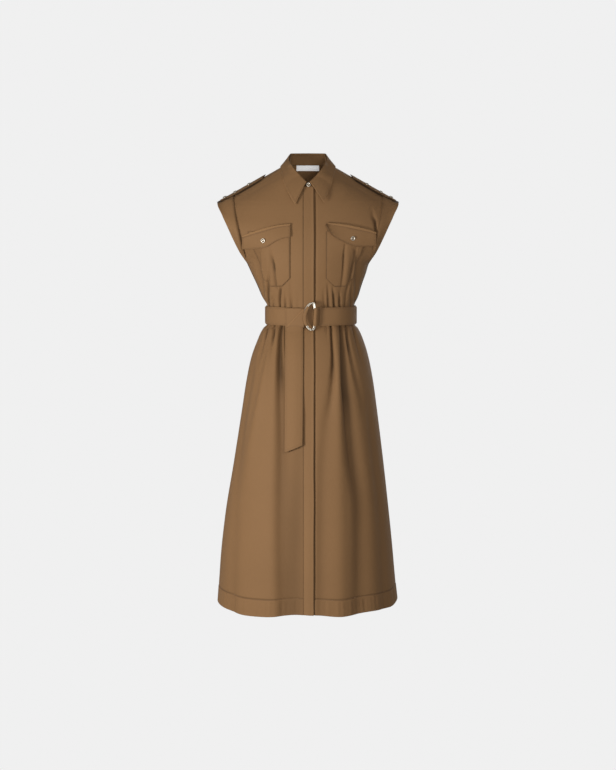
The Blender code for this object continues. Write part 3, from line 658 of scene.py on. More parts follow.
CREASES = {
    "bodice_front": crease_curves(BODICE_FRONT_CREASES),
    "bodice_underlap": crease_curves({**BODICE_FRONT_CREASES, **UNDERLAP_CREASE}),
    "bodice_back": crease_curves(BODICE_BACK_CREASES),
    "skirt_front": crease_curves(SKIRT_FRONT_CREASES),
    "skirt_underlap": crease_curves({**SKIRT_FRONT_CREASES, **UNDERLAP_CREASE}),
    "skirt_back": crease_curves(SKIRT_BACK_CREASES),
    "none": [],
}


def eased(share):
    share = np.clip(share, 0.0, 1.0)
    return share * share * (3 - 2 * share)


def bump(off, spread):
    return np.exp(-((off / spread) ** 2))


def armhole_gap(across, height):
    """Half the depth of the armhole opening at a height, its ends softened away from the edge."""
    off = (height - ARMHOLE_MID_HEIGHT) / ARMHOLE_HALF_HEIGHT
    inside = np.maximum(0.0, 1 - off * off)
    edge = np.abs(across) ** 10
    return ARMHOLE_HALF_GAP * (edge * np.sqrt(inside) + (1 - edge) * inside**1.5)


def section_round(height):
    """How sharply a section closes: a ridge along the shoulders, a smooth side below the arms."""
    above = eased((height - UNDERARM_HEIGHT + 0.02) / 0.06)
    return SIDE_ROUND + (RIDGE_ROUND - SIDE_ROUND) * above


def form_depth(side, across, height):
    gap = armhole_gap(across, height)
    closing = np.maximum(0.0, 1 - np.abs(across) ** SQUARENESS) ** section_round(height)
    return gap + (SECTION[side](height) - gap) * closing


def plain_form(side, angle, height):
    """Points of the uncreased outer cloth: the angle runs from the centre line to 90 at the side."""
    across = np.sin(np.radians(angle))
    x = SECTION["shift"](height) + across * SECTION["half_width"](height)
    own = form_depth(side, across, height)
    eased_depth = 3 * own
    for step, weight in ((-0.024, 1), (-0.012, 2), (0.012, 2), (0.024, 1)):
        near_height = height + step
        share = (x - SECTION["shift"](near_height)) / SECTION["half_width"](near_height)
        eased_depth = eased_depth + weight * form_depth(side, np.clip(share, -1.0, 1.0), near_height)
    inner = 1 - eased((np.abs(across) - 0.75) / 0.2)
    y = own + (eased_depth / 9 - own) * inner * eased((height + 0.40) / 0.03)
    return np.stack([x, -y if side == "front" else y, height + 0 * x], -1)


def angle_at(x, height):
    across = (x - SECTION["shift"](height)) / SECTION["half_width"](height)
    return np.degrees(np.arcsin(np.clip(across, -1.0, 1.0)))


def unit(vectors):
    return vectors / np.maximum(np.linalg.norm(vectors, axis=-1, keepdims=True), 1e-12)


def form_frame(side, angle, height):
    """The cloth's outward direction at each point, and how far a degree reaches along the cloth."""
    step_angle = 0.5
    step_height = 0.002
    inner = np.clip(angle, -88.0, 88.0)
    ahead = plain_form(side, inner + step_angle, height)
    along = ahead - plain_form(side, inner - step_angle, height)
    up = plain_form(side, inner, height + step_height) - plain_form(side, inner, height - step_height)
    normal = unit(np.cross(along, up))
    wrong = normal[..., 1] * (-1 if side == "front" else 1) < 0
    normal[wrong] *= -1
    return normal, np.linalg.norm(along, axis=-1) / (2 * step_angle)


def crease_humps(creases, angle, height, reach, narrowing=1.0):
    """For each crease: its hump over the cloth from 0 to 1, its depth and its two spreads."""
    for curves, low, high in CREASES[creases]:
        off = (angle - angle_at(curves["x"](height), height)) * reach
        minus_spread = curves["minus_spread"](height)
        plus_spread = curves["plus_spread"](height)
        spread = narrowing * np.where(off < 0, minus_spread, plus_spread)
        ends = eased((height - low) / CREASE_END + 1) * eased((high - height) / CREASE_END + 1)
        yield ends * bump(off, spread), curves["depth"](height), minus_spread, plus_spread


def crease_depth(creases, angle, height, reach):
    total = np.zeros_like(angle)
    for hump, depth, _, _ in crease_humps(creases, angle, height, reach):
        total += depth * hump
    return total * eased((89.0 - np.abs(angle)) / 7.0)


def crease_shade(side, creases, angle, height):
    """How dark the cloth lies in the bottoms of its creases, darkest in the narrow ones."""
    _, reach = form_frame(side, angle, height)
    total = np.zeros_like(angle)
    for hump, depth, minus_spread, plus_spread in crease_humps(creases, angle, height, reach, 0.9):
        steep = np.clip((depth / np.minimum(minus_spread, plus_spread) - 0.8) / 1.2, 0.0, 1.0)
        total += hump * np.maximum(0.88 * steep, 0.36 * np.clip(depth / 0.014, 0.0, 1.0))
    return np.minimum(total, 0.92)


def on_form(side, angle, height, lift=0.0, creases="none", sink=0.0):
    """Points of the creased cloth, moved out by `lift` and in by `sink`."""
    angle, height = np.broadcast_arrays(np.asarray(angle, float), np.asarray(height, float))
    normal, reach = form_frame(side, angle, height)
    out = lift - sink - crease_depth(creases, angle, height, reach)
    return plain_form(side, angle, height) + normal * np.broadcast_to(out, angle.shape)[..., None]


def lifted(side, x, height, lift, creases="none"):
    return on_form(side, angle_at(x, height), height, lift, creases)


def placket_rise(x):
    """The right front climbs onto the placket's level over its last few centimetres."""
    rise = CLOTH + LAYER_GAP
    return rise * eased((x - (PLACKET_STITCH_X - PLACKET_RISE_WIDTH)) / PLACKET_RISE_WIDTH)


def outer_angle(height):
    """Where a bodice panel ends: the shoulder and side seams at 90, the armhole between them."""
    open_side = (UNDERARM_HEIGHT < height) & (height < SHOULDER_SEAM_LOW)
    return np.where(open_side, angle_at(ARMHOLE_X(height) + SLEEVE_LAP, height), 90.0)


def seam_inset(angle, height):
    """Pulls an angle in from 90 so that two pieces that meet at a seam stay apart."""
    limit = np.where(height > UNDERARM_HEIGHT, SHOULDER_SEAM_ANGLE, SIDE_SEAM_ANGLE)
    return np.minimum(angle, limit)


def flutter(at, *waves):
    """A smooth uneven wave from a few (length, shift) pairs, between about -1 and 1."""
    return sum(np.sin(2 * np.pi * at / length + shift) for length, shift in waves) / len(waves)


# --- Shader nodes --------------------------------------------------------------------------------


class Value:
    """A number socket in Python expressions: each operator adds its Math node."""

    def __init__(self, nodes, socket):
        self.nodes = nodes
        self.socket = socket

    def math(self, operation, *values):
        inputs = dict(enumerate(values))
        made = self.nodes.add("ShaderNodeMath", {"operation": operation}, inputs)
        return Value(self.nodes, made.outputs[0])

    def __add__(self, other):
        return self.math("ADD", self, other)

    def __radd__(self, other):
        return self.math("ADD", other, self)

    def __sub__(self, other):
        return self.math("SUBTRACT", self, other)

    def __rsub__(self, other):
        return self.math("SUBTRACT", other, self)

    def __mul__(self, other):
        return self.math("MULTIPLY", self, other)

    def __rmul__(self, other):
        return self.math("MULTIPLY", other, self)

    def __truediv__(self, other):
        return self.math("DIVIDE", self, other)

    def sine(self):
        return self.math("SINE", self)

    def clamped(self):
        return self.math("MINIMUM", self.math("MAXIMUM", self, 0.0), 1.0)


class Nodes:
    """Adds nodes to one material: settings go first, then the values or links of the inputs."""

    def __init__(self, material):
        self.tree = material.node_tree
        self.shader = self.tree.nodes["Principled BSDF"]

    def add(self, kind, settings=None, inputs=None):
        made = self.tree.nodes.new(kind)
        for name, value in (settings or {}).items():
            setattr(made, name, value)
        self.fill(made, inputs or {})
        return made

    def fill(self, node, inputs):
        for name, value in inputs.items():
            socket = node.inputs[name]
            if isinstance(value, Value):
                value = value.socket
            if isinstance(value, bpy.types.NodeSocket):
                self.tree.links.new(value, socket)
            else:
                socket.default_value = value

    def value(self, kind, settings=None, inputs=None, output=0):
        return Value(self, self.add(kind, settings, inputs).outputs[output])

    def noise(self, coordinates, scale, detail=3.0, roughness=0.5):
        inputs = {"Vector": coordinates, "Scale": scale, "Detail": detail, "Roughness": roughness}
        return self.value("ShaderNodeTexNoise", inputs=inputs)

    def mixed(self, share, first, second):
        """A colour between two colours."""
        made = self.add("ShaderNodeMix", {"data_type": "RGBA"})
        self.fill(made, {0: share, 6: first, 7: second})
        return made.outputs[2]


def colour(values, share=1.0):
    return (values[0] * share, values[1] * share, values[2] * share, 1.0)


def new_material(name):
    made = bpy.data.materials.get(name)
    if made:
        return made, None
    made = bpy.data.materials.new(name)
    made.use_nodes = True
    return made, Nodes(made)


def twill():
    """Fine cotton twill: slanting ribs, a faint slub along the warp and a soft sheen."""
    looks = bpy.context.scene.dress_colours
    made, nodes = new_material("brown_twill")
    if nodes is None:
        return made
    cloth_place = nodes.add("ShaderNodeUVMap", {"uv_map": "weave"}).outputs["UV"]
    body_place = nodes.add("ShaderNodeTexCoord").outputs["Object"]
    parts = nodes.add("ShaderNodeSeparateXYZ", inputs={"Vector": cloth_place})
    across = Value(nodes, parts.outputs["X"])
    along = Value(nodes, parts.outputs["Y"])
    rib = ((across + along) * (2 * math.pi / looks.rib_pitch)).sine()
    yarn = ((across - along * 0.6) * (2 * math.pi / (looks.rib_pitch * 0.7))).sine()
    slub_place = nodes.add(
        "ShaderNodeMapping", inputs={"Vector": cloth_place, "Scale": (900.0, 60.0, 1.0)}
    ).outputs[0]
    slub = nodes.noise(slub_place, 1.0, 2.0)
    cloud = nodes.noise(body_place, 9.0, 3.0)
    fleck = nodes.noise(body_place, 420.0, 2.0, 0.6)
    seam = nodes.value("ShaderNodeAttribute", {"attribute_name": "seam"}, output="Fac")
    tone = (0.5 + (cloud - 0.5) * 0.55 + (slub - 0.5) * 0.5 + (fleck - 0.5) * 0.45 + rib * 0.05).clamped()
    cloth_colour = nodes.mixed(tone, colour(looks.twill, 0.90), colour(looks.twill, 1.10))
    # Painted shade: seams, crease bottoms, strap shadows and edge shadows darken the cloth towards 0.28
    # of its colour.
    shaded_colour = nodes.mixed(seam.clamped(), cloth_colour, colour(looks.twill, 0.28))
    # Painted highlight: where the attribute is below 0, folded edges are painted paler, towards 1.45 of
    # the cloth colour.
    shaded_colour = nodes.mixed((seam * -1.0).clamped(), shaded_colour, colour(looks.twill, 1.45))
    height = rib * 0.55 + yarn * 0.2 + (slub - 0.5) * 0.8 + (fleck - 0.5) * 0.5
    relief = nodes.add(
        "ShaderNodeBump", inputs={"Strength": 0.35, "Distance": 0.00022, "Height": height}
    )
    nodes.fill(
        nodes.shader,
        {
            "Base Color": shaded_colour,
            "Roughness": 0.66 + (fleck - 0.5) * 0.16,
            "Normal": relief.outputs[0],
            "Sheen Weight": looks.sheen,
            "Sheen Roughness": 0.42,
            "Sheen Tint": colour((1.0, 0.86, 0.70)),
            "Specular IOR Level": 0.16,
        },
    )
    return made


def thread():
    """Polyester sewing thread, a shade paler than the cloth and faintly twisted."""
    looks = bpy.context.scene.dress_colours
    made, nodes = new_material("thread")
    if nodes is None:
        return made
    place = nodes.add("ShaderNodeTexCoord").outputs["Object"]
    fibre = nodes.noise(place, 2600.0, 2.0)
    thread_colour = nodes.mixed(fibre, colour(looks.thread, 0.80), colour(looks.thread, 1.15))
    relief = nodes.add("ShaderNodeBump", inputs={"Strength": 0.3, "Distance": 0.0001, "Height": fibre})
    nodes.fill(
        nodes.shader,
        {
            "Base Color": thread_colour,
            "Roughness": 0.5 + fibre * 0.1,
            "Normal": relief.outputs[0],
            "Sheen Weight": 0.15,
        },
    )
    return made


def pale_metal():
    """Plated trim: pale gold to silver, polished, with fine handling marks and dark recesses."""
    looks = bpy.context.scene.dress_colours
    made, nodes = new_material("pale_metal")
    if nodes is None:
        return made
    place = nodes.add("ShaderNodeTexCoord").outputs["Object"]
    cloud = nodes.noise(place, 140.0, 3.0)
    marks_place = nodes.add(
        "ShaderNodeMapping", inputs={"Vector": place, "Scale": (2400.0, 2400.0, 300.0)}
    ).outputs[0]
    marks = nodes.noise(marks_place, 1.0, 4.0, 0.7)
    recess = nodes.value("ShaderNodeAttribute", {"attribute_name": "recess"}, output="Fac")
    plated = nodes.mixed(cloud, colour(looks.metal, 0.86), colour(looks.metal, 1.08))
    # Painted shade: darker brown in the buttons' recesses and on their undersides.
    metal_colour = nodes.mixed(recess.clamped(), plated, colour((0.17, 0.11, 0.06)))
    relief = nodes.add("ShaderNodeBump", inputs={"Strength": 0.2, "Distance": 0.00005, "Height": marks})
    nodes.fill(
        nodes.shader,
        {
            "Base Color": metal_colour,
            "Metallic": 1.0,
            "Roughness": 0.30 + marks * 0.12 + recess * 0.25,
            "Normal": relief.outputs[0],
        },
    )
    return made


def label_tape():
    """White woven tape with fine cross ribs and nothing printed on it."""
    looks = bpy.context.scene.dress_colours
    made, nodes = new_material("label_tape")
    if nodes is None:
        return made
    cloth_place = nodes.add("ShaderNodeUVMap", {"uv_map": "weave"}).outputs["UV"]
    parts = nodes.add("ShaderNodeSeparateXYZ", inputs={"Vector": cloth_place})
    ribs = (Value(nodes, parts.outputs["Y"]) * (2 * math.pi / 0.0006)).sine()
    body_place = nodes.add("ShaderNodeTexCoord").outputs["Object"]
    cloud = nodes.noise(body_place, 300.0, 2.0)
    tape_colour = nodes.mixed(cloud, colour(looks.label, 0.95), colour(looks.label, 1.0))
    relief = nodes.add("ShaderNodeBump", inputs={"Strength": 0.3, "Distance": 0.0001, "Height": ribs})
    nodes.fill(
        nodes.shader,
        {
            "Base Color": tape_colour,
            "Roughness": 0.45 + cloud * 0.1,
            "Normal": relief.outputs[0],
            "Sheen Weight": 0.1,
            # Painted light: the tape glows faintly, so it stays white in the shade inside the neck.
            "Emission Color": colour(looks.label),
            "Emission Strength": 0.35,
        },
    )
    return made


# --- Making pieces -------------------------------------------------------------------------------


def polygon_values(mesh, name, width):
    values = np.empty(len(mesh.polygons) * width)
    mesh.polygons.foreach_get(name, values)
    return values.reshape(-1, width)


def mesh_from(bm, name):
    mesh = bpy.data.meshes.new(name)
    bm.to_mesh(mesh)
    bm.free()
    return mesh


def linked(name, data):
    made = bpy.data.objects.new(name, data)
    bpy.context.scene.collection.objects.link(made)
    return made


def face_outwards(mesh, inside):
    """Turns the faces over where most of them look towards the axis or the point `inside`."""
    away = polygon_values(mesh, "center", 3)
    away[:, : len(inside)] -= inside
    if len(inside) == 2:
        away[:, 2] = 0.0
    facing = (polygon_values(mesh, "normal", 3) * away).sum(1) @ polygon_values(mesh, "area", 1)[:, 0]
    if facing < 0:
        mesh.flip_normals()


def piece(name, mesh, finish, nodes=()):
    """An object on the one body, standing for its CAD nodes."""
    mesh.materials.append(finish)
    mesh.shade_smooth()
    made = bpy.data.objects.new(name, mesh)
    bpy.context.scene.collection.objects.link(made)
    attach(made, "root")
    if nodes:
        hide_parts(*nodes)
    return made


def cloth(
    name,
    columns,
    rows,
    place,
    flat,
    thickness=CLOTH,
    inside=(0.0, 0.0),
    own_node=True,
    finish=None,
    row_share=None,
):
    """A grid that `place` puts on the garment, walled inwards, its weave in metres of flat cloth.

    `place` takes (u, v) in 0..1 and returns the points and how much each lies in a seam, 0 to 1.
    A piece with its own node replaces the solid that its name begins with."""
    bm = bmesh.new()
    bmesh.ops.create_grid(bm, x_segments=columns, y_segments=rows, size=0.5)
    mesh = mesh_from(bm, name)
    at = np.empty(len(mesh.vertices) * 3)
    mesh.vertices.foreach_get("co", at)
    at = at.reshape(-1, 3) + 0.5
    u = np.round(at[:, 0] * columns) / columns
    v = np.round(at[:, 1] * rows) / rows
    v = row_share(v) if row_share else v
    points, seam = place(u, v)
    mesh.vertices.foreach_set("co", points.ravel())
    mesh.update()
    face_outwards(mesh, inside)
    corners = np.empty(len(mesh.loops), int)
    mesh.loops.foreach_get("vertex_index", corners)
    weave = mesh.uv_layers.new(name="weave")
    weave.data.foreach_set("uv", np.stack([u[corners] * flat[0], v[corners] * flat[1]], -1).ravel())
    # Seams, painted shade and painted highlights reach the material through this attribute.
    shade = mesh.attributes.new("seam", "FLOAT", "POINT")
    shade.data.foreach_set("value", np.broadcast_to(seam, u.shape).astype(np.float32))
    nodes = (name.rsplit("_", 1)[0],) if own_node else ()
    made = piece(name, mesh, finish or twill(), nodes)
    wall = made.modifiers.new("wall", "SOLIDIFY")
    wall.thickness = thickness
    wall.offset = -1.0
    edges = made.modifiers.new("rounded edges", "BEVEL")
    edges.width = 0.28 * thickness
    edges.segments = 2
    edges.limit_method = "ANGLE"
    edges.angle_limit = math.radians(70)
    return made


def near(distance, width):
    """1 on a line, fading to 0 at about `width` from it."""
    return bump(distance, width)


def add_stitches(bm, path, outwards, length, gap, radius):
    """Little thread humps along a run of points, each one lying along the run."""
    steps = np.linalg.norm(np.diff(path, axis=0), axis=1)
    run = np.concatenate([[0.0], np.cumsum(steps)])
    count = max(1, int(run[-1] / (length + gap)))
    pitch = run[-1] / count
    for i in range(count):
        middle = (i + 0.5) * pitch
        ends = [np.array([np.interp(at, run, path[:, axis]) for axis in range(3)])
                for at in (middle - 0.5 * length, middle + 0.5 * length)]
        out = Vector([float(np.interp(middle, run, outwards[:, axis])) for axis in range(3)])
        along = Vector(ends[1] - ends[0])
        if along.length < 1e-6:
            continue
        along.normalize()
        out = (out - along * out.dot(along)).normalized()
        side = out.cross(along)
        turn = Matrix((along, side, out)).transposed().to_4x4()
        centre = Vector(0.5 * (ends[0] + ends[1])) + out * (0.35 * radius)
        size = Matrix.Diagonal((0.5 * length, radius, 0.8 * radius, 1.0))
        bmesh.ops.create_uvsphere(
            bm, u_segments=6, v_segments=4, radius=1.0, matrix=Matrix.Translation(centre) @ turn @ size
        )


def stitch_piece(name, runs):
    """One joined mesh of thread for several runs of (points, outward directions)."""
    sizes = bpy.context.scene.dress_sizes
    joined = bmesh.new()
    for path, outwards in runs:
        bm = bmesh.new()
        add_stitches(bm, path, outwards, sizes.stitch_length, sizes.stitch_gap, sizes.thread_radius)
        run = mesh_from(bm, name + "_run")
        joined.from_mesh(run)
        bpy.data.meshes.remove(run)
    return piece(name, mesh_from(joined, name), thread())


def form_run(side, x, height, lift, creases="none", sink=0.0):
    """A stitch run over the form, through points given by x and height."""
    x, height = np.broadcast_arrays(np.asarray(x, float), np.asarray(height, float))
    angle = angle_at(x, height)
    normal, _ = form_frame(side, angle, height)
    return on_form(side, angle, height, lift, creases, sink), normal


def facing(points, direction):
    """A stitch run whose stitches all face one way."""
    return points, np.tile(direction, (len(points), 1))


def facing_form(points):
    """A stitch run on something that lies on the front, its stitches facing out of the form."""
    normal, _ = form_frame("front", angle_at(points[:, 0], points[:, 2]), points[:, 2])
    return points, normal


# --- Bodice and sleeves --------------------------------------------------------------------------


def strap_shade(points):
    """How dark the cloth lies under the front and back edges of the shoulder straps."""
    inside = eased((STRAP_HALF_WIDTH + 0.0045 - np.abs(points[:, 1])) / 0.004)
    return 0.9 * inside * eased((np.abs(points[:, 0]) - STRAP_NECK_X) / 0.006)


def bodice_front(name, sign, centre_x, creases):
    def place(u, v):
        height = BODICE_BOTTOM + (BODICE_TOP - BODICE_BOTTOM) * v
        neck_x = np.where(height > NECK_FRONT_HEIGHT, FRONT_NECK_X(height), 0.0)
        inner_x = np.where(height > NECK_FRONT_HEIGHT, sign * np.maximum(abs(centre_x), neck_x), centre_x)
        inner = angle_at(inner_x, height)
        outer = sign * seam_inset(outer_angle(height), height)
        angle = inner + (outer - inner) * u
        x = plain_form("front", angle, height)[:, 0]
        lift = placket_rise(x) if sign < 0 else 0.0
        in_armhole = (height < SHOULDER_SEAM_LOW) & (height > UNDERARM_HEIGHT)
        # Seams painted darker: partly the stitched join itself, partly painted shade in its groove,
        # deepest in the armhole gap under the sleeve.
        seam_line = near((1 - u) * 0.19, 0.0016) * np.where(in_armhole, 0.75, 0.45)
        seam = np.maximum(seam_line, 0.4 * near(u * 0.19, 0.0010))
        seam = np.maximum(seam, crease_shade("front", creases, angle, height))
        points = on_form("front", angle, height, lift, creases, 0.0007 * seam_line)
        return points, np.maximum(seam, strap_shade(points))

    return cloth(name, 124, 118, place, (0.24, 0.385))


def bodice_back():
    def place(u, v):
        angle_share = 2 * u - 1
        top = BODICE_TOP + 0.0072 * (1 - np.abs(np.sin(np.radians(90 * angle_share))) ** 4)
        height = BODICE_BOTTOM + (top - BODICE_BOTTOM) * v
        outer = seam_inset(outer_angle(height), height)
        # The seams at the outer edges painted darker: the stitched join with painted shade in its groove.
        seam = 0.45 * near((1 - np.abs(angle_share)) * 0.21, 0.0016)
        angle = outer * angle_share
        points = on_form("back", angle, height, 0.0, "bodice_back", 0.0006 * seam)
        return points, np.maximum(seam, crease_shade("back", "bodice_back", angle, height))

    return cloth("bodice_back_cloth", 160, 100, place, (0.47, 0.40))


def sleeve_point(sign, u, v, lift=0.0):
    """The cap sleeve: u runs from the front of the armhole over the shoulder to its back."""
    up = 1 - np.abs(2 * u - 1)
    climb = np.sin(np.radians(90 * up))
    seam_height = SLEEVE_END_HEIGHT + (SHOULDER_SEAM_LOW - SLEEVE_END_HEIGHT) * climb
    edge_height = SLEEVE_END_HEIGHT + (SHOULDER_TIP_HEIGHT - SLEEVE_END_HEIGHT) * climb
    seam_angle = angle_at(ARMHOLE_X(seam_height), seam_height)
    seam_angle = seam_angle + (90.0 - seam_angle) * eased((up - 0.93) / 0.07)
    height = seam_height + (edge_height - seam_height) * (0.03 + 0.97 * v)
    angle = sign * (seam_angle + (90.0 - seam_angle) * v)
    lift = lift + (CLOTH + LAYER_GAP) * (1 - eased(v / 0.6)) * (1 - eased((up - 0.9) / 0.1))
    front = on_form("front", angle, height, lift, "bodice_front")
    back = on_form("back", angle, height, lift, "bodice_back")
    return np.where((u <= 0.5)[:, None], front, back)


def sleeve(name, sign):
    def place(u, v):
        # The sleeve's sewn edge painted darker: painted shade in the gap along the armhole.
        seam = 0.5 * near(v * 0.03, 0.0012)
        points = sleeve_point(sign, u, v)
        return points, np.maximum(seam, strap_shade(points))

    return cloth(name, 160, 22, place, (0.42, 0.05), inside=(sign * 0.10, 0.0))


def make_bodice():
    for name, sign, centre_x, creases in (
        ("bodice_front_right_cloth", -1, PLACKET_STITCH_X, "bodice_front"),
        ("bodice_front_left_cloth", 1, UNDERLAP_X, "bodice_underlap"),
    ):
        made = bodice_front(name, sign, centre_x, creases)
    bodice_back()


def make_sleeves():
    for name, sign in (("sleeve_right_cloth", -1), ("sleeve_left_cloth", 1)):
        made = sleeve(name, sign)


# --- Collar --------------------------------------------------------------------------------------


def half_ring(table, around, sign):
    return np.stack([sign * table["x"](around), table["y"](around), table["height"](around)], -1)


def halves(u):
    """A share of the whole collar as a share of one half, front to back, and that half's side."""
    return 1 - np.abs(2 * u - 1), np.where(u >= 0.5, 1.0, -1.0)


def neck_seam(around, sign):
    """The neckline as a half ring: the first part is on the front, the rest on the back."""
    share = np.sin(np.radians(90 * np.minimum(around / FRONT_SHARE, 1.0)))
    height = NECK_FRONT_HEIGHT + (NECK_POINT_HEIGHT - 0.003 - NECK_FRONT_HEIGHT) * share**1.6
    x = np.maximum(0.004, FRONT_NECK_X(height))
    front = plain_form("front", sign * angle_at(x, height), height)
    share = np.clip((around - FRONT_SHARE) / (1 - FRONT_SHARE), 0.0, 1.0)
    x = NECK_POINT_X * np.cos(np.radians(90 * share)) * 0.985
    height = BACK_NECK_HEIGHT(x)
    back = plain_form("back", sign * angle_at(x, height), height)
    return np.where((around <= FRONT_SHARE)[:, None], front, back)


def towards_axis(points):
    flat = points * np.array([-1.0, -1.0, 0.0])
    return unit(flat)


def stand_point(u, v, lift=0.0):
    around, sign = halves(u)
    low = neck_seam(around, sign)
    inwards = towards_axis(low)
    low[:, 2] += -0.0016 + 0.0073 * eased(1 - around / 0.3)
    low += inwards * 0.0016
    high = half_ring(FOLD_AT, around, sign) + inwards * 0.0016
    round_out = -inwards * (0.0016 * np.sin(np.pi * v) + lift)[:, None]
    return low + (high - low) * v[:, None] + round_out


def clear_of_form(points, lift):
    """Moves points out in depth where they would lie inside the cloth under them."""
    x, y, height = points[:, 0], points[:, 1], points[:, 2]
    under = (height <= 0.004) & (np.abs(x) < SECTION["half_width"](height))
    front = plain_form("front", angle_at(x, height), height)[:, 1] - lift
    back = plain_form("back", angle_at(x, height), height)[:, 1] + lift
    points[:, 1] = np.where(under & (y < 0), np.minimum(y, front), y)
    points[:, 1] = np.where(under & (y >= 0), np.maximum(y, back), points[:, 1])
    return points


def leaf_point(u, v, lift=0.0):
    around, sign = halves(u)
    root = half_ring(FOLD_AT, around, sign)
    edge = half_ring(LEAF_AT, around, sign)
    outwards = -towards_axis(root)
    root = root + outwards * 0.0016 + np.array([0, 0, 0.0008])
    edge = edge + np.stack([0.0036 + 0 * u, 0 * u, 0.003 * sign], -1) * eased(1 - around / 0.3)[:, None]
    bend = root + (edge - root) * 0.45 + outwards * 0.0035 + np.array([0, 0, 0.002])
    t = v[:, None]
    points = (root * (1 - t) + bend * t) * (1 - t) + (bend * (1 - t) + edge * t) * t
    points = clear_of_form(points, 0.0046 + 0.0014 * v * eased(1 - around / 0.5))
    return points + outwards * lift


def collar_stand():
    def place(u, v):
        # Painted shade along the neckline at the foot and along the stitch line.
        seam = np.maximum(0.5 * near(v * 0.03, 0.0012), 0.45 * near((v - 0.84) * 0.03, 0.0008))
        return stand_point(u, v), seam

    return cloth("collar_stand_cloth", 128, 14, place, (0.40, 0.035), inside=(0.0, -0.01))


def collar_leaf():
    def place(u, v):
        end = np.minimum(u, 1 - u) * 0.45
        edge = np.minimum((1 - v) * 0.065, end)
        ridge = 0.0004 * eased(edge / 0.006)
        groove = 0.0003 * near(edge - COLLAR_STITCH_IN, 0.0008)
        # Painted shade along the stitch line, and a painted highlight along the folded outer edge.
        seam = 0.30 * near(edge - COLLAR_STITCH_IN, 0.0009) - 0.5 * near(edge, 0.0016)
        return leaf_point(u, v, ridge[:, None] - groove[:, None] - 0.0002), seam

    return cloth(
        "collar_leaf_cloth",
        150,
        30,
        place,
        (0.45, 0.065),
        FOLDED_CLOTH,
        inside=(0.0, -0.01),
    )


LABEL_HALF_LENGTH = 0.0306
LABEL_MIDDLE_X = -0.0006
LABEL_TOP = -0.0012
LABEL_BOTTOM = -0.0150


def neck_label():
    def place(u, v):
        x = LABEL_MIDDLE_X + LABEL_HALF_LENGTH * (2 * u - 1)
        height = LABEL_BOTTOM + (LABEL_TOP - LABEL_BOTTOM) * v
        return lifted("back", x, height, -CLOTH - LAYER_GAP), 0.0 * u

    return cloth(
        "neck_label_tape",
        48,
        12,
        place,
        (0.060, 0.014),
        0.0008,
        finish=label_tape(),
    )


def make_collar():
    collar_stand()
    collar_leaf()
    neck_label()


# --- Skirt and placket ---------------------------------------------------------------------------

HemDrop = namedtuple("HemDrop", "angle drop")
FRONT_HEM = (
    HemDrop(-90, -0.006),
    HemDrop(-63, 0.0),
    HemDrop(-43, 0.0055),
    HemDrop(-28, 0.004),
    HemDrop(-4, -0.003),
    HemDrop(3, -0.0035),
    HemDrop(22, 0.001),
    HemDrop(28, 0.0),
    HemDrop(45, -0.004),
    HemDrop(64, -0.003),
    HemDrop(82, -0.010),
    HemDrop(90, -0.012),
)
BACK_HEM = (
    HemDrop(-90, -0.006),
    HemDrop(-50, 0.004),
    HemDrop(-24, 0.0),
    HemDrop(0, 0.004),
    HemDrop(26, 0.001),
    HemDrop(52, 0.004),
    HemDrop(90, -0.012),
)
HEM_DROP = {
    "front": smooth_column([h.angle for h in FRONT_HEM], [h.drop for h in FRONT_HEM]),
    "back": smooth_column([h.angle for h in BACK_HEM], [h.drop for h in BACK_HEM]),
}


def hem_lift(angle, height):
    """The turned hem is a layer thicker, dips at its stitching and puckers a little."""
    above = height - HEM_HEIGHT - HEM_DEPTH
    band = 0.0007 * eased(0.5 - above / 0.004)
    dip = 0.0014 * near(above, 0.0020)
    puckers = flutter(angle, (3.1, 0.4), (4.7, 2.0), (7.9, 4.1)) * 0.0007
    puckers = puckers * eased((88.0 - np.abs(angle)) / 8.0)
    return band - dip + puckers * eased(-above / 0.012) * eased((height - HEM_HEIGHT) / 0.02 + 0.3)


def skirt_height(side, angle_share, v):
    drop = HEM_DROP[side](90 * angle_share)
    return HEM_HEIGHT + (SKIRT_TOP - HEM_HEIGHT) * v - drop * (1 - v) ** 6


def skirt_seam_shade(u_edge, height):
    # The hem's stitching and the side seams painted darker: stitched lines with painted shade in their
    # grooves.
    hem_line = near(height - HEM_HEIGHT - HEM_DEPTH, 0.0018)
    return np.maximum(0.6 * hem_line, 0.4 * near(u_edge, 0.0012))


def hem_rows(v):
    """Puts three rows in ten into the lowest tenth, where the hem is sewn."""
    return np.where(v < 0.3, v / 3, 0.1 + (v - 0.3) * 9 / 7)


def skirt_front(name, sign, centre_x, creases):
    def place(u, v):
        height = HEM_HEIGHT + (SKIRT_TOP - HEM_HEIGHT) * v
        inner = angle_at(centre_x, height)
        outer = sign * seam_inset(90.0 + 0 * height, height)
        angle = inner + (outer - inner) * u
        true_height = skirt_height("front", angle / 90, v)
        x = plain_form("front", angle, height)[:, 0]
        lift = placket_rise(x) if sign < 0 else 0.0
        lift = lift + hem_lift(angle, height)
        points = on_form("front", angle, height, lift, creases)
        points[:, 2] += true_height - height
        seam = skirt_seam_shade((1 - u) * 0.25, height)
        return points, np.maximum(seam, crease_shade("front", creases, angle, height))

    return cloth(name, 144, 184, place, (0.30, 0.755), row_share=hem_rows)


def skirt_back():
    def place(u, v):
        height = HEM_HEIGHT + (SKIRT_TOP - HEM_HEIGHT) * v
        angle = seam_inset(90.0 + 0 * height, height) * (2 * u - 1)
        true_height = skirt_height("back", angle / 90, v)
        points = on_form("back", angle, height, hem_lift(angle, height), "skirt_back")
        points[:, 2] += true_height - height
        seam = skirt_seam_shade((1 - np.abs(2 * u - 1)) * 0.25, height)
        return points, np.maximum(seam, crease_shade("back", "skirt_back", angle, height))

    return cloth("skirt_back_cloth", 236, 146, place, (0.60, 0.755), row_share=hem_rows)


def placket_lift(x):
    """The lap's level, its folded edge standing a little proud."""
    return CLOTH + LAYER_GAP + 0.0010 * eased((x - 0.008) / 0.006)


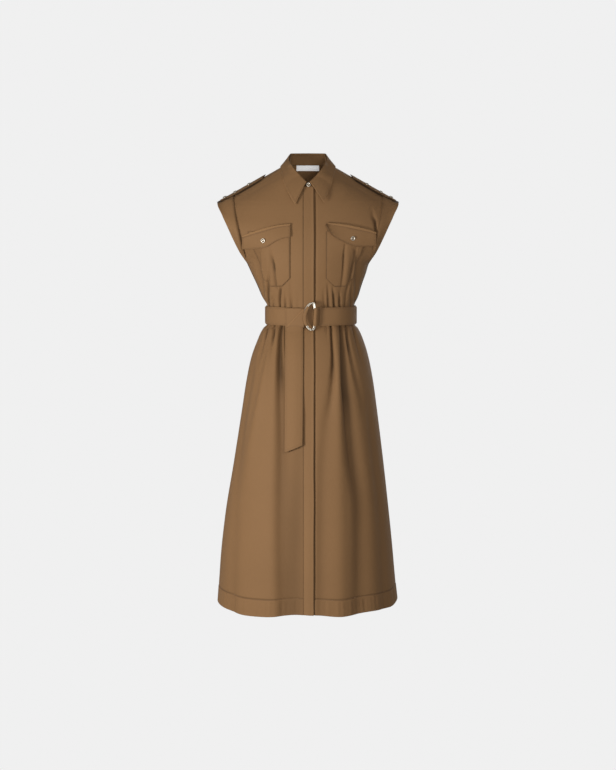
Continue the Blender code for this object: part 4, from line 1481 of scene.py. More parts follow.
def placket(name, bottom, top, rows):
    creases = "skirt_front" if bottom < SKIRT_TOP else "bodice_front"

    def place(u, v):
        height = bottom + (top - bottom) * v
        x = PLACKET_STITCH_X + SEAM_GAP + (PLACKET_EDGE_X - PLACKET_STITCH_X) * u
        wander = 0.0006 * flutter(height, (0.31, 0.3), (0.17, 1.9)) * u
        lift = placket_lift(x) - 0.0006 * near(u * 0.0265 - 0.0018, 0.0010)
        # The stitched side painted darker, with painted shade in its groove.
        seam = 0.7 * near(u * 0.0265, 0.0011)
        points = lifted("front", x + wander, height, lift, creases)
        if bottom < SKIRT_TOP:
            points[:, 2] -= HEM_DROP["front"](0.0 * v) * (1 - v) ** 6
        return points, seam

    return cloth(name, 16, rows, place, (0.027, top - bottom))


def make_skirt():
    for name, sign, centre_x, creases in (
        ("skirt_front_right_cloth", -1, PLACKET_STITCH_X, "skirt_front"),
        ("skirt_front_left_cloth", 1, UNDERLAP_X, "skirt_underlap"),
    ):
        made = skirt_front(name, sign, centre_x, creases)
    skirt_back()


def make_placket():
    bodice_lap = placket("placket_bodice_cloth", BODICE_BOTTOM, -0.0600, 110)
    skirt_lap = placket("placket_skirt_cloth", HEM_HEIGHT, SKIRT_TOP, 190)


# --- Pockets and flaps ---------------------------------------------------------------------------


def pocket_place(sign, u, v, lift=0.0):
    outer = POCKET_OUTER_BOTTOM_X + (POCKET_OUTER_TOP_X - POCKET_OUTER_BOTTOM_X) * v
    x = POCKET_INNER_X + (outer - POCKET_INNER_X) * u
    corner = np.maximum(0.0, POCKET_CHAMFER - np.minimum(x - POCKET_INNER_X, outer - x))
    bottom = POCKET_BOTTOM + corner
    height = bottom + (POCKET_TOP - bottom) * v
    return lifted("front", sign * x, height, POCKET_GAP + CLOTH + lift, "bodice_front")


def pocket(name, sign):
    def place(u, v):
        edge = np.minimum(np.minimum(u, 1 - u) * 0.09, v * 0.135)
        lift = 0.0004 * eased(edge / 0.004) - 0.0004 * near(edge - POCKET_STITCH_IN, 0.0007)
        # Painted shade along the stitch line and a painted shadow along the pocket's edge.
        seam = 0.35 * near(edge - POCKET_STITCH_IN, 0.0009) + 0.85 * near(edge, 0.0010)
        points = pocket_place(sign, u, v, lift)
        angle = angle_at(points[:, 0], points[:, 2])
        return points, np.maximum(seam, crease_shade("front", "bodice_front", angle, points[:, 2]))

    return cloth(name, 80, 76, place, (0.105, 0.138))


def flap_curves(stations):
    places = [abs(station.x) for station in stations]
    return places, {
        name: smooth_column(places, [getattr(station, name) for station in stations])
        for name in ("top", "bottom", "lift")
    }


def flap_place(stations, u, v, lift=0.0):
    sign = 1 if stations[0].x > 0 else -1
    places, curves = flap_curves(stations)
    x = places[0] + (places[-1] - places[0]) * u
    height = curves["bottom"](x) + (curves["top"](x) - curves["bottom"](x)) * v
    roll = 0.0016 * near((1 - v) * 0.035 - 0.0022, 0.0022)
    stand_off = LAYER_GAP + curves["lift"](x) * (1 - v) ** 1.3 + roll
    return lifted("front", sign * x, height, POCKET_GAP + 2 * CLOTH + stand_off + lift)


def flap(name, stations):
    def place(u, v):
        edge = np.minimum(np.minimum(u, 1 - u) * 0.12, v * 0.042)
        groove = 0.0003 * near(edge - FLAP_STITCH_IN, 0.0008)
        # Painted shade along the stitch lines, a painted shadow along the flap's edges and a painted
        # highlight along its top edge.
        seam = 0.25 * near(edge - FLAP_STITCH_IN, 0.0009) + 0.45 * near(edge, 0.0009)
        seam = seam + 0.40 * near((1 - v) * 0.035 - 0.0056, 0.0011) - 0.9 * near((1 - v) * 0.035, 0.0030)
        return flap_place(stations, u, v, -groove), seam

    return cloth(name, 90, 40, place, (0.125, 0.045))


def make_pockets():
    for name, sign in (("pocket_right_cloth", -1), ("pocket_left_cloth", 1)):
        made = pocket(name, sign)
    for name, stations in (("flap_right_cloth", FLAP_RIGHT), ("flap_left_cloth", FLAP_LEFT)):
        made = flap(name, stations)


# --- Shoulder straps -----------------------------------------------------------------------------


def shoulder_height(x, y):
    """The height of the shoulder's cloth over points of the plan, by halving."""
    high = NECK_POINT_HEIGHT - SHOULDER_SLOPE * (np.abs(x) - NECK_POINT_X)
    low = high - 0.06
    for _ in range(24):
        middle = 0.5 * (high + low)
        angle = angle_at(x, middle)
        front = np.abs(plain_form("front", angle, middle)[..., 1])
        back = np.abs(plain_form("back", angle, middle)[..., 1])
        too_high = np.where(y < 0, front, back) < np.abs(y)
        high = np.where(too_high, middle, high)
        low = np.where(too_high, low, middle)
    return high


def strap_point(x, y, lift=0.0):
    x, y = np.broadcast_arrays(np.asarray(x, float), np.asarray(y, float))
    return np.stack([x, y, shoulder_height(x, y) + 0.0030 + CLOTH + lift], -1)


def strap_place(sign, u, v, lift=0.0):
    x = STRAP_NECK_X + (STRAP_TIP_X - STRAP_NECK_X) * u
    y = STRAP_HALF_WIDTH * (2 * v - 1)
    point = 0.007 * (1 - np.abs(2 * v - 1)) * (1 - u) ** 4
    return strap_point(sign * (x - point), y, lift)


def epaulette(name, sign):
    def place(u, v):
        edge = np.minimum(np.minimum(v, 1 - v) * 0.038, u * 0.11)
        crown = 0.0005 * eased(edge / 0.005) - 0.0003 * near(edge - 0.0030, 0.0008)
        # Painted shade along the stitch line and a painted shadow along the strap's edges.
        seam = 0.25 * near(edge - 0.0030, 0.0009) + 0.9 * near(edge, 0.0012)
        return strap_place(sign, u, v, crown), seam

    return cloth(
        name,
        90,
        34,
        place,
        (0.125, 0.040),
        inside=(sign * 0.17, 0.0, -0.30),
    )


def make_straps():
    for name, sign in (("epaulette_right_cloth", -1), ("epaulette_left_cloth", 1)):
        made = epaulette(name, sign)


# --- Buttons -------------------------------------------------------------------------------------

# A turned button's half outline from its centre out, over the rim and back under, and how much painted
# shade lies at each point
ButtonPoint = namedtuple("ButtonPoint", "radius height recess")
BUTTON_OUTLINE = (
    ButtonPoint(0.0000, 0.00025, 0.2),
    ButtonPoint(0.0012, 0.00015, 0.3),
    ButtonPoint(0.0020, -0.00015, 1.0),
    ButtonPoint(0.0030, -0.00005, 0.9),
    ButtonPoint(0.0036, 0.00070, 0.1),
    ButtonPoint(0.0044, 0.00120, 0.0),
    ButtonPoint(0.0052, 0.00090, 0.0),
    ButtonPoint(0.0057, 0.00010, 0.0),
    ButtonPoint(0.0054, -0.00080, 0.0),
    ButtonPoint(0.0040, -0.00120, 0.3),
    ButtonPoint(0.0000, -0.00120, 0.5),
)
BUTTON_HALF_THICKNESS = 0.0012


def button(name, place, normal, node):
    bm = bmesh.new()
    ends = [bm.verts.new((point.radius, 0.0, point.height)) for point in BUTTON_OUTLINE]
    edges = [bm.edges.new(pair) for pair in zip(ends[:-1], ends[1:])]
    bmesh.ops.spin(
        bm, geom=ends + edges, axis=(0, 0, 1), cent=(0, 0, 0), steps=40, angle=2 * math.pi, use_merge=True
    )
    bmesh.ops.remove_doubles(bm, verts=bm.verts[:], dist=1e-6)
    bmesh.ops.recalc_face_normals(bm, faces=bm.faces[:])
    radii = [math.hypot(vertex.co.x, vertex.co.y) for vertex in bm.verts]
    upper = [vertex.co.z > -0.0006 for vertex in bm.verts]
    recess = smooth_column([p.radius for p in BUTTON_OUTLINE[:8]], [p.recess for p in BUTTON_OUTLINE[:8]])
    turn = Vector((0, 0, 1)).rotation_difference(Vector(normal)).to_matrix().to_4x4()
    centre = Vector(place) + Vector(normal) * (BUTTON_HALF_THICKNESS + 0.0004)
    bmesh.ops.transform(bm, matrix=Matrix.Translation(centre) @ turn, verts=bm.verts[:])
    mesh = mesh_from(bm, name)
    # Painted shade in the hollow of the face from the outline, and a flat painted shade over the
    # underside.
    dark = mesh.attributes.new("recess", "FLOAT", "POINT")
    dark.data.foreach_set("value", [float(recess(r)) if up else 0.3 for r, up in zip(radii, upper)])
    made = piece(name, mesh, pale_metal(), (node,))
    smooth = made.modifiers.new("turned", "SUBSURF")
    smooth.levels = 1
    smooth.render_levels = 1
    return made


def make_buttons():
    neck_height = -0.0550
    neck_y = float(plain_form("front", np.array([0.0]), np.array([neck_height]))[0, 1])
    neck_normal = Vector((0, -0.96, 0.28)).normalized()
    button("button_neck_metal", (0.0013, neck_y - 0.0085, neck_height), neck_normal, "button_neck")
    for side, x, height in (("right", -0.1110, -0.1940), ("left", 0.1110, -0.1890)):
        x, height = np.array([x]), np.array([height])
        at = lifted("front", x, height, POCKET_GAP + 2 * CLOTH + LAYER_GAP + 0.0018)[0]
        normal, _ = form_frame("front", angle_at(x, height), height)
        button(f"button_pocket_{side}_metal", at, normal[0], f"button_pocket_{side}")
    for side, sign in (("right", -1), ("left", 1)):
        for number, x in enumerate((0.151, 0.187, 0.213), start=1):
            at = strap_point(sign * x, -0.0095, 0.0005)
            along = strap_point(sign * x + 0.002, -0.0095) - strap_point(sign * x - 0.002, -0.0095)
            across = strap_point(sign * x, -0.0075) - strap_point(sign * x, -0.0115)
            normal = unit(np.cross(along, across))
            normal = -normal if normal[2] < 0 else normal
            name = f"button_shoulder_{side}_{number}"
            button(name + "_metal", at, normal, name)


# --- Belt ----------------------------------------------------------------------------------------


def belt_point(angle_round, height, lift):
    """Points of the belt's outer face; the angle runs all round, 0 at the front, + towards +X."""
    radians = np.radians(angle_round)
    across = np.sin(radians)
    front = np.cos(radians) >= 0
    depth = np.where(front, BELT_FRONT, BELT_BACK)
    closing = np.maximum(0.0, 1 - np.abs(across) ** SQUARENESS) ** SIDE_ROUND
    x = BELT_HALF_WIDTH * across
    y = np.where(front, -depth * closing, depth * closing)
    out = unit(np.stack([x / BELT_HALF_WIDTH**2, y / depth**2, 0 * x], -1))
    base = np.stack([x + BELT_SHIFT, y, height + 0 * x], -1)
    return base + out * np.broadcast_to(lift, x.shape)[..., None]


def belt_angle(x):
    return np.degrees(np.arcsin(np.clip((x - BELT_SHIFT) / BELT_HALF_WIDTH, -1, 1)))


def belt_wander(angle):
    """How far the belt rises and falls on its way round."""
    return 0.0007 * flutter(angle, (97, 1.0), (53, 3.0))


def belt_edge_lift_and_shade(v, width):
    """How far the belt's face stands out towards its middle, and how dark its stitch lines are."""
    edge = np.minimum(v, 1 - v) * width
    lift = 0.0005 * eased(edge / 0.006) - 0.0003 * near(edge - BELT_STITCH_IN, 0.0008)
    return lift, 0.22 * near(edge - BELT_STITCH_IN, 0.0009) + 0.25 * near(edge, 0.0009)


def belt():
    start = float(belt_angle(BELT_END_X))
    end = 360.0 + float(belt_angle(BELT_START_X))

    def place(u, v):
        angle = start + (end - start) * u
        height = BELT_BOTTOM + (BELT_TOP - BELT_BOTTOM) * v
        lift, seam = belt_edge_lift_and_shade(v, BELT_TOP - BELT_BOTTOM)
        ripple = 0.0005 * flutter(angle, (41, 0.7), (67, 2.4), (23, 4.0)) * np.sin(np.pi * v)
        height = height + belt_wander(angle)
        return belt_point(angle, height, DOUBLE_CLOTH + lift + ripple), seam

    return cloth(
        "belt_cloth", 300, 24, place, (0.66, 0.047), DOUBLE_CLOTH, inside=(BELT_SHIFT, 0.0)
    )


def tail_depth(x, height):
    """The front depth that the belt's hanging end rests on: the belt, then the skirt."""
    belt_outer = -belt_point(belt_angle(x), height, DOUBLE_CLOTH)[..., 1]
    skirt_outer = -lifted("front", x, height, placket_rise(x))[..., 1]
    return np.where(height > BELT_BOTTOM + 0.001, belt_outer, np.maximum(belt_outer, skirt_outer))


def tail_place(u, v, lift=0.0):
    x = TAIL_INNER_X + (TAIL_OUTER_X - TAIL_INNER_X) * u
    bottom = TAIL_END_INNER + (TAIL_END_OUTER - TAIL_END_INNER) * u
    height = bottom + (TAIL_TOP - bottom) * v
    down = (TAIL_TOP - height) / (TAIL_TOP - TAIL_END_INNER)
    swing = 0.0010 * np.sin(3.1 * down + 0.4)
    hollow = 0.0012 * np.cos(2 * np.pi * (u - 0.5)) * eased(down * 3)
    wave = 0.0012 * flutter(height, (0.21, 1.2), (0.13, 0.2)) * eased(down * 3)
    lip = 0.0022 * eased((down - 0.06) / 0.1)
    stand_off = 0.0014 + DOUBLE_CLOTH + lip + hollow + wave + lift
    steps = np.linspace(-0.012, 0.012, 5)
    depth = sum(tail_depth(x, np.minimum(height + step, TAIL_TOP)) for step in steps) / len(steps)
    depth = np.maximum(depth, tail_depth(x, height))
    return np.stack([x + swing, -depth - stand_off, height], -1)


def belt_tail():
    def place(u, v):
        lift, seam = belt_edge_lift_and_shade(u, 0.0455)
        end = v * 0.345
        # Painted shade along the stitch line and the edge at the hanging end.
        seam = seam + 0.2 * near(end - BELT_STITCH_IN, 0.0009) + 0.25 * near(end, 0.0009)
        return tail_place(u, v, lift), seam

    return cloth("belt_tail_cloth", 26, 150, place, (0.0465, 0.36), DOUBLE_CLOTH)


TURN_TOP = BELT_TOP - 0.004
TURN_BOTTOM = BELT_BOTTOM - 0.004
TURN_INNER_X = -0.0100


def turn_place(u, v, lift=0.0):
    """The turn of the belt over the tail: a triangle whose long side is the crease."""
    height = TURN_BOTTOM + (TURN_TOP - TURN_BOTTOM) * v
    crease_x = TAIL_OUTER_X + 0.003 + (TURN_INNER_X - 0.006 - TAIL_OUTER_X) * v
    x = TURN_INNER_X + (crease_x - TURN_INNER_X) * u
    fold = 0.0011 * near((1 - u) * (TURN_INNER_X - crease_x), 0.0030)
    stand_off = 0.0014 + 2 * DOUBLE_CLOTH + 0.0012 + fold + lift
    return np.stack([x, -tail_depth(x, BELT_BOTTOM + 0.002 + 0 * x) - stand_off, height], -1)


def belt_turn():
    def place(u, v):
        edge = v * 0.043
        # Painted shadow along the turn's lower edge, painted shade along its stitch line and a painted
        # highlight along the fold's crease.
        seam = 0.25 * near(edge - BELT_STITCH_IN, 0.0009) + 0.9 * near(edge, 0.0016)
        return turn_place(u, v), seam - 0.8 * near((1 - u) * 0.045 * (1 - v), 0.0016)

    return cloth("belt_turn_cloth", 36, 36, place, (0.045, 0.045), FOLDED_CLOTH)


def ring_middle():
    return 0.5 * (BELT_TOP + BELT_BOTTOM) - RING_DROP


def ring_at(turn):
    """Across and up places on a ring: 0 is the middle of its bow, half a turn is its straight bar."""
    across = RING_BAR_X - RING_WIDTH * np.cos(0.5 * turn) ** 4
    return across, RING_HALF_HEIGHT * np.sin(turn)


def belt_ring(name, lean, stand_off, node):
    """A D of round wire: a straight upright bar, and a bow that reaches to the wearer's right."""
    curve = bpy.data.curves.new(name + "_wire", "CURVE")
    curve.dimensions = "3D"
    curve.bevel_depth = RING_WIRE
    curve.bevel_resolution = 4
    spline = curve.splines.new("POLY")
    steps = 96
    spline.points.add(steps - 1)
    for i in range(steps):
        across, up = ring_at(2 * math.pi * i / steps)
        spline.points[i].co = (across + lean * up, -(BELT_FRONT + stand_off), ring_middle() + up, 1.0)
    spline.use_cyclic_u = True
    shaped = linked(name + "_path", curve)
    bpy.context.view_layer.update()
    mesh = bpy.data.meshes.new_from_object(shaped.evaluated_get(bpy.context.evaluated_depsgraph_get()))
    bpy.data.objects.remove(shaped)
    mesh.name = name
    mesh.attributes.new("recess", "FLOAT", "POINT")
    mesh.materials.clear()
    return piece(name, mesh, pale_metal(), (node,))


def bow_wrap():
    """The belt where it passes over the bow of the rings."""
    lean = RING_LEANS[1]
    depth = BELT_FRONT + RING_STAND_OFFS[1]

    def place(u, v):
        turn = 0.80 - 1.55 * v
        half = 0.0052 - 0.0012 * (2 * v - 1) ** 2
        across, up = ring_at(turn)
        ahead_across, ahead_up = ring_at(turn + 0.01)
        along = unit(np.stack([ahead_across - across, ahead_up - up], -1))
        off = half * (2 * u - 1)
        across = across - along[:, 1] * off + lean * up + 0.0022
        up = up + along[:, 0] * off
        front = 0.0030 * np.sqrt(np.maximum(0.0, 1 - (2 * u - 1) ** 2)) + 0.0002
        # Painted shade along both edges of the belt where it wraps the bow.
        seam = 0.3 * near(np.minimum(u, 1 - u) * 0.01, 0.0008)
        return np.stack([across, -depth - front, ring_middle() + up], -1), seam

    return cloth("belt_over_bow_cloth", 14, 60, place, (0.012, 0.060), 0.0012, own_node=False)


def bar_loop():
    """The sewn end of the belt that holds the straight bars."""
    surface = BELT_FRONT + DOUBLE_CLOTH
    front = BELT_FRONT + RING_STAND_OFFS[1] + RING_WIRE + 0.0012
    shares = [0.0, 0.30, 0.55, 0.75, 0.9, 1.0]
    across = smooth_column(shares, [0.0300, 0.0235, 0.0195, 0.0150, 0.0138, 0.0152])
    out = smooth_column(
        shares,
        [surface + 0.0006, front - 0.0022, front, front - 0.0016, front - 0.0060, front - 0.0085],
    )

    def place(u, v):
        height = BELT_BOTTOM + 0.0008 + (BELT_TOP - BELT_BOTTOM - 0.0016) * v
        edge = np.minimum(v, 1 - v) * 0.045
        # Painted shade along the stitch lines and along the edge where the loop lies down on the belt.
        seam = 0.25 * near(edge - BELT_STITCH_IN, 0.0009) + 0.5 * near(u * 0.03, 0.0010)
        return np.stack([across(u) + 0.06 * (height - ring_middle()), -out(u), height], -1), seam

    return cloth("belt_bar_loop_cloth", 36, 30, place, (0.034, 0.046), 0.0016, own_node=False)


def belt_loop(name, sign):
    middle = 90.0 * sign

    def place(u, v):
        angle = middle + LOOP_HALF_ANGLE * (2 * u - 1)
        height = BELT_BOTTOM - 0.0015 + (BELT_TOP - BELT_BOTTOM + 0.003) * v
        over_belt = eased(np.minimum(v, 1 - v) / 0.10)
        lift = (DOUBLE_CLOTH + LAYER_GAP + 0.0006) * over_belt + 0.0010
        # Painted shade at both ends of the loop, where it lies down on the cloth.
        seam = 0.3 * near(np.minimum(v, 1 - v) * 0.05, 0.0012)
        return belt_point(angle, height, lift), seam

    return cloth(name, 10, 40, place, (0.009, 0.055), inside=(BELT_SHIFT, 0.0))


def make_belt():
    belt()
    belt_tail()
    belt_turn()
    bow_wrap()
    bar_loop()
    for name, sign in (("belt_loop_right_cloth", -1), ("belt_loop_left_cloth", 1)):
        belt_loop(name, sign)


def make_rings():
    for number, (lean, stand_off) in enumerate(zip(RING_LEANS, RING_STAND_OFFS), start=1):
        belt_ring(f"belt_ring_{number}_metal", lean, stand_off, f"belt_ring_{number}")


# --- Stitching -----------------------------------------------------------------------------------


FORWARDS = (0.0, -1.0, 0.0)


def sample(count):
    return np.linspace(0.0, 1.0, count)


def hem_stitches():
    height = HEM_HEIGHT + HEM_DEPTH
    runs = []
    for side, creases in (("front", "skirt_front"), ("back", "skirt_back")):
        angle = np.linspace(-88.5, 88.5, 700)
        if side == "front":
            angle = angle[(angle < float(angle_at(PLACKET_STITCH_X, height)) - 0.6) | (angle > 4.5)]
        for part in (angle[angle < 0], angle[angle >= 0]):
            at = height + 0 * part
            lift = hem_lift(part, at) + 0.0001
            x = plain_form(side, part, at)[:, 0]
            if side == "front":
                lift = lift + np.where(x < 0, placket_rise(x), 0.0)
            path = on_form(side, part, at, lift, creases)
            v = HEM_DEPTH / (SKIRT_TOP - HEM_HEIGHT)
            path[:, 2] += skirt_height(side, part / 90, v) - (HEM_HEIGHT + HEM_DEPTH)
            normal, _ = form_frame(side, part, at)
            runs.append((path, normal))
    return stitch_piece("hem_stitches", runs)


def placket_stitches():
    runs = []
    for top, bottom, creases in ((-0.064, -0.362, "bodice_front"), (-0.413, -1.139, "skirt_front")):
        height = np.linspace(top, bottom, 400)
        x = PLACKET_STITCH_X + SEAM_GAP + 0.0018 + 0 * height
        lift = placket_lift(x) - 0.0004
        runs.append(form_run("front", x, height, lift, creases))
    return stitch_piece("placket_stitches", runs)


def pocket_stitches():
    runs = []
    share_u = POCKET_STITCH_IN / 0.09
    share_v = POCKET_STITCH_IN / 0.135
    for sign in (-1, 1):
        line = sample(120)
        for u, v in (
            (share_u + 0 * line, 1 - (1 - share_v) * line),
            (share_u + (1 - 2 * share_u) * line, share_v + 0 * line),
            (1 - share_u + 0 * line, share_v + (1 - share_v) * line),
        ):
            runs.append(facing_form(pocket_place(sign, u, v, 0.0002)))
    for stations in (FLAP_RIGHT, FLAP_LEFT):
        line = sample(120)
        for u, v in (
            (0.022 + 0 * line, 0.06 + 0.88 * line),
            (0.022 + 0.956 * line, 0.062 + 0 * line),
            (0.978 + 0 * line, 0.06 + 0.88 * line),
            (0.01 + 0.98 * line, 0.83 + 0 * line),
        ):
            runs.append(facing_form(flap_place(stations, u, v, 0.0001)))
    return stitch_piece("pocket_stitches", runs)


def collar_stitches():
    line = sample(400)
    share_u = COLLAR_STITCH_IN / 0.45
    share_v = 1 - COLLAR_STITCH_IN / 0.065
    side_line = sample(60)
    runs = []
    for u, v in (
        (share_u + (1 - 2 * share_u) * line, share_v + 0 * line),
        (share_u + 0 * side_line, 0.25 + (share_v - 0.25) * side_line),
        (1 - share_u + 0 * side_line, 0.25 + (share_v - 0.25) * side_line),
    ):
        points = leaf_point(u, v, 0.0003)
        out = -towards_axis(points - np.array([0.0, -0.01, 0.0]))
        out[:, 2] += 0.45
        runs.append((points, unit(out)))
    back = np.linspace(0.30, 0.70, 200)
    points = stand_point(back, 0.84 + 0 * back, -0.0016)
    runs.append((points, towards_axis(points)))
    return stitch_piece("collar_stitches", runs)


def belt_stitches():
    runs = []
    start = float(belt_angle(BELT_END_X)) + 0.6
    end = 359.4 + float(belt_angle(BELT_START_X))
    angle = np.linspace(start, end, 900)
    for height in (BELT_TOP - BELT_STITCH_IN, BELT_BOTTOM + BELT_STITCH_IN):
        at = height + belt_wander(angle)
        points = belt_point(angle, at, DOUBLE_CLOTH + 0.0002)
        out = unit((points - np.array([BELT_SHIFT, 0, 0])) * np.array([1, 1, 0]))
        runs.append((points, out))
    line = sample(300)
    edge = BELT_STITCH_IN / 0.0455
    for u, v in ((edge + 0 * line, 0.012 + 0.85 * line), (1 - edge + 0 * line, 0.012 + 0.85 * line)):
        runs.append(facing(tail_place(u, v, 0.0002), FORWARDS))
    line = sample(60)
    runs.append(facing(tail_place(edge + (1 - 2 * edge) * line, 0.012 + 0 * line, 0.0002), FORWARDS))
    runs.append(facing(turn_place(0.04 + 0.86 * line, 0.093 + 0 * line, 0.0002), FORWARDS))
    return stitch_piece("belt_stitches", runs)


def seam_stitches():
    """Topstitching beside the armhole seams, round the straps and at the label's two ends."""
    runs = []
    for sign in (-1, 1):
        up = np.linspace(-0.238, -0.080, 200)
        runs.append(form_run("front", sign * (ARMHOLE_X(up) - 0.0045), up, 0.0002, "bodice_front"))
        runs.append(form_run("back", sign * (ARMHOLE_X(up) - 0.0045), up, 0.0002, "bodice_back"))
        line = sample(90)
        for u, v in (
            (0.03 + 0.96 * line, 0.08 + 0 * line),
            (0.03 + 0.96 * line, 0.92 + 0 * line),
            (0.03 + 0 * line, 0.08 + 0.84 * line),
        ):
            runs.append(facing(strap_place(sign, u, v, 0.0003), (sign * 0.45, 0.0, 0.89)))
    for end in (-1, 1):
        height = np.linspace(LABEL_BOTTOM + 0.001, LABEL_TOP - 0.001, 30)
        x = LABEL_MIDDLE_X + end * (LABEL_HALF_LENGTH - 0.0012)
        points, normal = form_run("back", x, height, -CLOTH - LAYER_GAP - 0.0008)
        runs.append((points, -normal))
    return stitch_piece("seam_stitches", runs)


def make_stitching():
    hem_stitches()
    placket_stitches()
    pocket_stitches()
    collar_stitches()
    belt_stitches()
    seam_stitches()


# --- Stage ---------------------------------------------------------------------------------------

CAMERA_PLACE = Vector((0.0, -4.3, -0.15))
CAMERA_AIM = Vector((0.0, 0.0, -0.57))
VIEW_HEIGHT = 2.002
FLOOR_HEIGHT = -1.62


def look_at(made, aim):
    made.rotation_euler = (aim - made.location).to_track_quat("-Z", "Y").to_euler()


def soft_light(wanted):
    light = bpy.data.lights.new(wanted.name, "AREA")
    light.shape = "RECTANGLE"
    light.size, light.size_y = wanted.size
    light.energy = wanted.energy
    light.color = wanted.tint
    made = linked(wanted.name, light)
    made.location = wanted.place
    look_at(made, Vector(wanted.aim))


def make_camera():
    camera = bpy.data.cameras.new("camera")
    camera.sensor_width = 36.0
    made = linked("camera", camera)
    made.location = CAMERA_PLACE
    look_at(made, CAMERA_AIM)
    camera.lens = camera.sensor_width * (CAMERA_AIM - CAMERA_PLACE).length / VIEW_HEIGHT
    bpy.context.scene.camera = made


def make_surroundings():
    """Even pale surroundings for the eye, and a softer fill of the same tone for the cloth."""
    looks = bpy.context.scene.dress_colours
    world = bpy.data.worlds.new("studio")
    world.use_nodes = True
    bpy.context.scene.world = world
    tree = world.node_tree
    background = tree.nodes["Background"]
    background.inputs["Color"].default_value = colour(looks.surroundings)
    path = tree.nodes.new("ShaderNodeLightPath")
    strength = looks.fill
    for ray, share in (("Is Camera Ray", 1.0 - looks.fill), ("Is Glossy Ray", 0.20)):
        added = tree.nodes.new("ShaderNodeMath")
        added.operation = "MULTIPLY_ADD"
        tree.links.new(path.outputs[ray], added.inputs[0])
        added.inputs[1].default_value = share
        if isinstance(strength, bpy.types.NodeSocket):
            tree.links.new(strength, added.inputs[2])
        else:
            added.inputs[2].default_value = strength
        strength = added.outputs[0]
    tree.links.new(strength, background.inputs["Strength"])


def make_floor():
    looks = bpy.context.scene.dress_colours
    bm = bmesh.new()
    bmesh.ops.create_circle(bm, cap_ends=True, segments=96, radius=3.0)
    bmesh.ops.translate(bm, verts=bm.verts[:], vec=(0, 0, FLOOR_HEIGHT))
    mesh = mesh_from(bm, "studio_floor")
    made = linked("studio_floor", mesh)
    finish, nodes = new_material("studio_floor")
    nodes.fill(
        nodes.shader,
        {
            "Base Color": colour((0, 0, 0)),
            "Roughness": 1.0,
            "Specular IOR Level": 0.0,
            "Emission Color": colour(looks.surroundings),
            "Emission Strength": 1.0,
        },
    )
    mesh.materials.append(finish)
    made.visible_diffuse = False
    made.visible_glossy = False


SoftLight = namedtuple("SoftLight", "name place aim size energy tint")
MIDDLE = (0.0, 0.0, -0.55)
LIGHTS = (
    SoftLight("key", (-1.30, -1.45, -0.64), (0.0, 0.0, -0.64), (0.5, 0.6), 23.5, (1.0, 0.985, 0.955)),
    SoftLight("front_fill", (0.30, -2.3, -0.05), MIDDLE, (0.7, 0.7), 15.0, (1.0, 0.99, 0.97)),
    SoftLight("back_fill", (1.5, 3.4, 0.4), MIDDLE, (2.4, 2.4), 34.0, (1.0, 1.0, 1.0)),
)


def make_stage():
    make_camera()
    make_surroundings()
    make_floor()
    for light in LIGHTS:
        soft_light(light)
    bpy.context.scene.view_settings.view_transform = "Standard"


# --- Add-on --------------------------------------------------------------------------------------


def length(name, description, default):
    return bpy.props.FloatProperty(name=name, description=description, default=default, unit="LENGTH")


def share(name, description, default):
    return bpy.props.FloatProperty(name=name, description=description, default=default, subtype="FACTOR")


def tint(name, description, default):
    return bpy.props.FloatVectorProperty(
        name=name, description=description, default=default, subtype="COLOR"
    )


class DressSizes(bpy.types.PropertyGroup):
    """Sizes of the sewing that a user may change."""

    stitch_length: length("Stitch length", "Length of one topstitch", 0.0026)
    stitch_gap: length("Stitch gap", "Space between two topstitches", 0.0007)
    thread_radius: length("Thread radius", "Half the thickness of the thread", 0.00024)


class DressColours(bpy.types.PropertyGroup):
    """Colours and finish of the dress and its studio."""

    twill: tint("Twill", "Colour of the cloth", (0.272, 0.148, 0.065))
    thread: tint("Thread", "Colour of the topstitching", (0.300, 0.162, 0.070))
    metal: tint("Metal", "Colour of the plated trim", (0.66, 0.61, 0.52))
    label: tint("Label", "Colour of the blank neck label", (0.92, 0.92, 0.93))
    surroundings: tint("Surroundings", "Tone of the studio", (0.871, 0.871, 0.871))
    rib_pitch: length("Rib pitch", "Distance between two twill ribs", 0.0011)
    sheen: share("Sheen", "Softness of the cloth at a glancing view", 0.04)
    fill: share("Fill", "Strength of the even light all round", 0.22)


def dress_operator(name, label, doc, make):
    """An Operator class that builds one group of pieces."""

    def execute(self, context):
        make()
        return {"FINISHED"}

    return type(
        f"DRESS_OT_{name}",
        (bpy.types.Operator,),
        {"__doc__": doc, "bl_idname": f"dress.{name}", "bl_label": label, "execute": execute},
    )


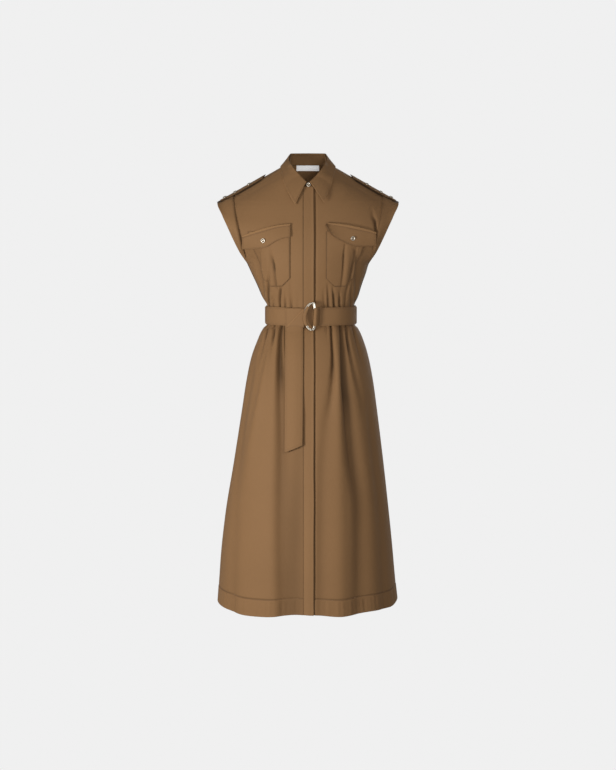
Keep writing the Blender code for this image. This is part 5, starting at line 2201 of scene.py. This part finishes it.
OPERATORS = (
    dress_operator("stage", "Stage", "Set up the camera, the lights and the pale floor", make_stage),
    dress_operator("bodice", "Bodice", "Build the two fronts and the back of the bodice", make_bodice),
    dress_operator("sleeves", "Sleeves", "Build the two cap sleeves", make_sleeves),
    dress_operator("collar", "Collar", "Build the collar, its stand and the blank label", make_collar),
    dress_operator("skirt", "Skirt", "Build the three gathered skirt panels", make_skirt),
    dress_operator("placket", "Placket", "Build the lap that hides the front fastening", make_placket),
    dress_operator("pockets", "Pockets", "Build the pleated chest pockets and their flaps", make_pockets),
    dress_operator("straps", "Shoulder straps", "Build the two shoulder straps", make_straps),
    dress_operator("buttons", "Buttons", "Build the turned metal buttons", make_buttons),
    dress_operator("rings", "Rings", "Build the two D rings of the belt", make_rings),
    dress_operator("belt", "Belt", "Build the belt, its hanging end, turn and loops", make_belt),
    dress_operator("stitching", "Stitching", "Sew the topstitching", make_stitching),
)


class DRESS_PT_panel(bpy.types.Panel):
    """Lists the groups of pieces in the 3D view's sidebar."""

    bl_idname = "DRESS_PT_panel"
    bl_label = "Shirt dress"
    bl_space_type = "VIEW_3D"
    bl_region_type = "UI"
    bl_category = "Dress"

    def draw(self, context):
        for settings in (context.scene.dress_sizes, context.scene.dress_colours):
            for name in settings.bl_rna.properties.keys():
                if name not in ("rna_type", "name"):
                    self.layout.prop(settings, name)
        for operator in OPERATORS:
            self.layout.operator(operator.bl_idname)


CLASSES = (DressSizes, DressColours, *OPERATORS, DRESS_PT_panel)


def register():
    for made in CLASSES:
        bpy.utils.register_class(made)
    bpy.types.Scene.dress_sizes = bpy.props.PointerProperty(type=DressSizes)
    bpy.types.Scene.dress_colours = bpy.props.PointerProperty(type=DressColours)


def unregister():
    del bpy.types.Scene.dress_colours
    del bpy.types.Scene.dress_sizes
    for made in reversed(CLASSES):
        bpy.utils.unregister_class(made)


def main():
    register()
    for operator in OPERATORS:
        getattr(bpy.ops.dress, operator.bl_idname.split(".")[1])()


if __name__ == "__main__":
    main()
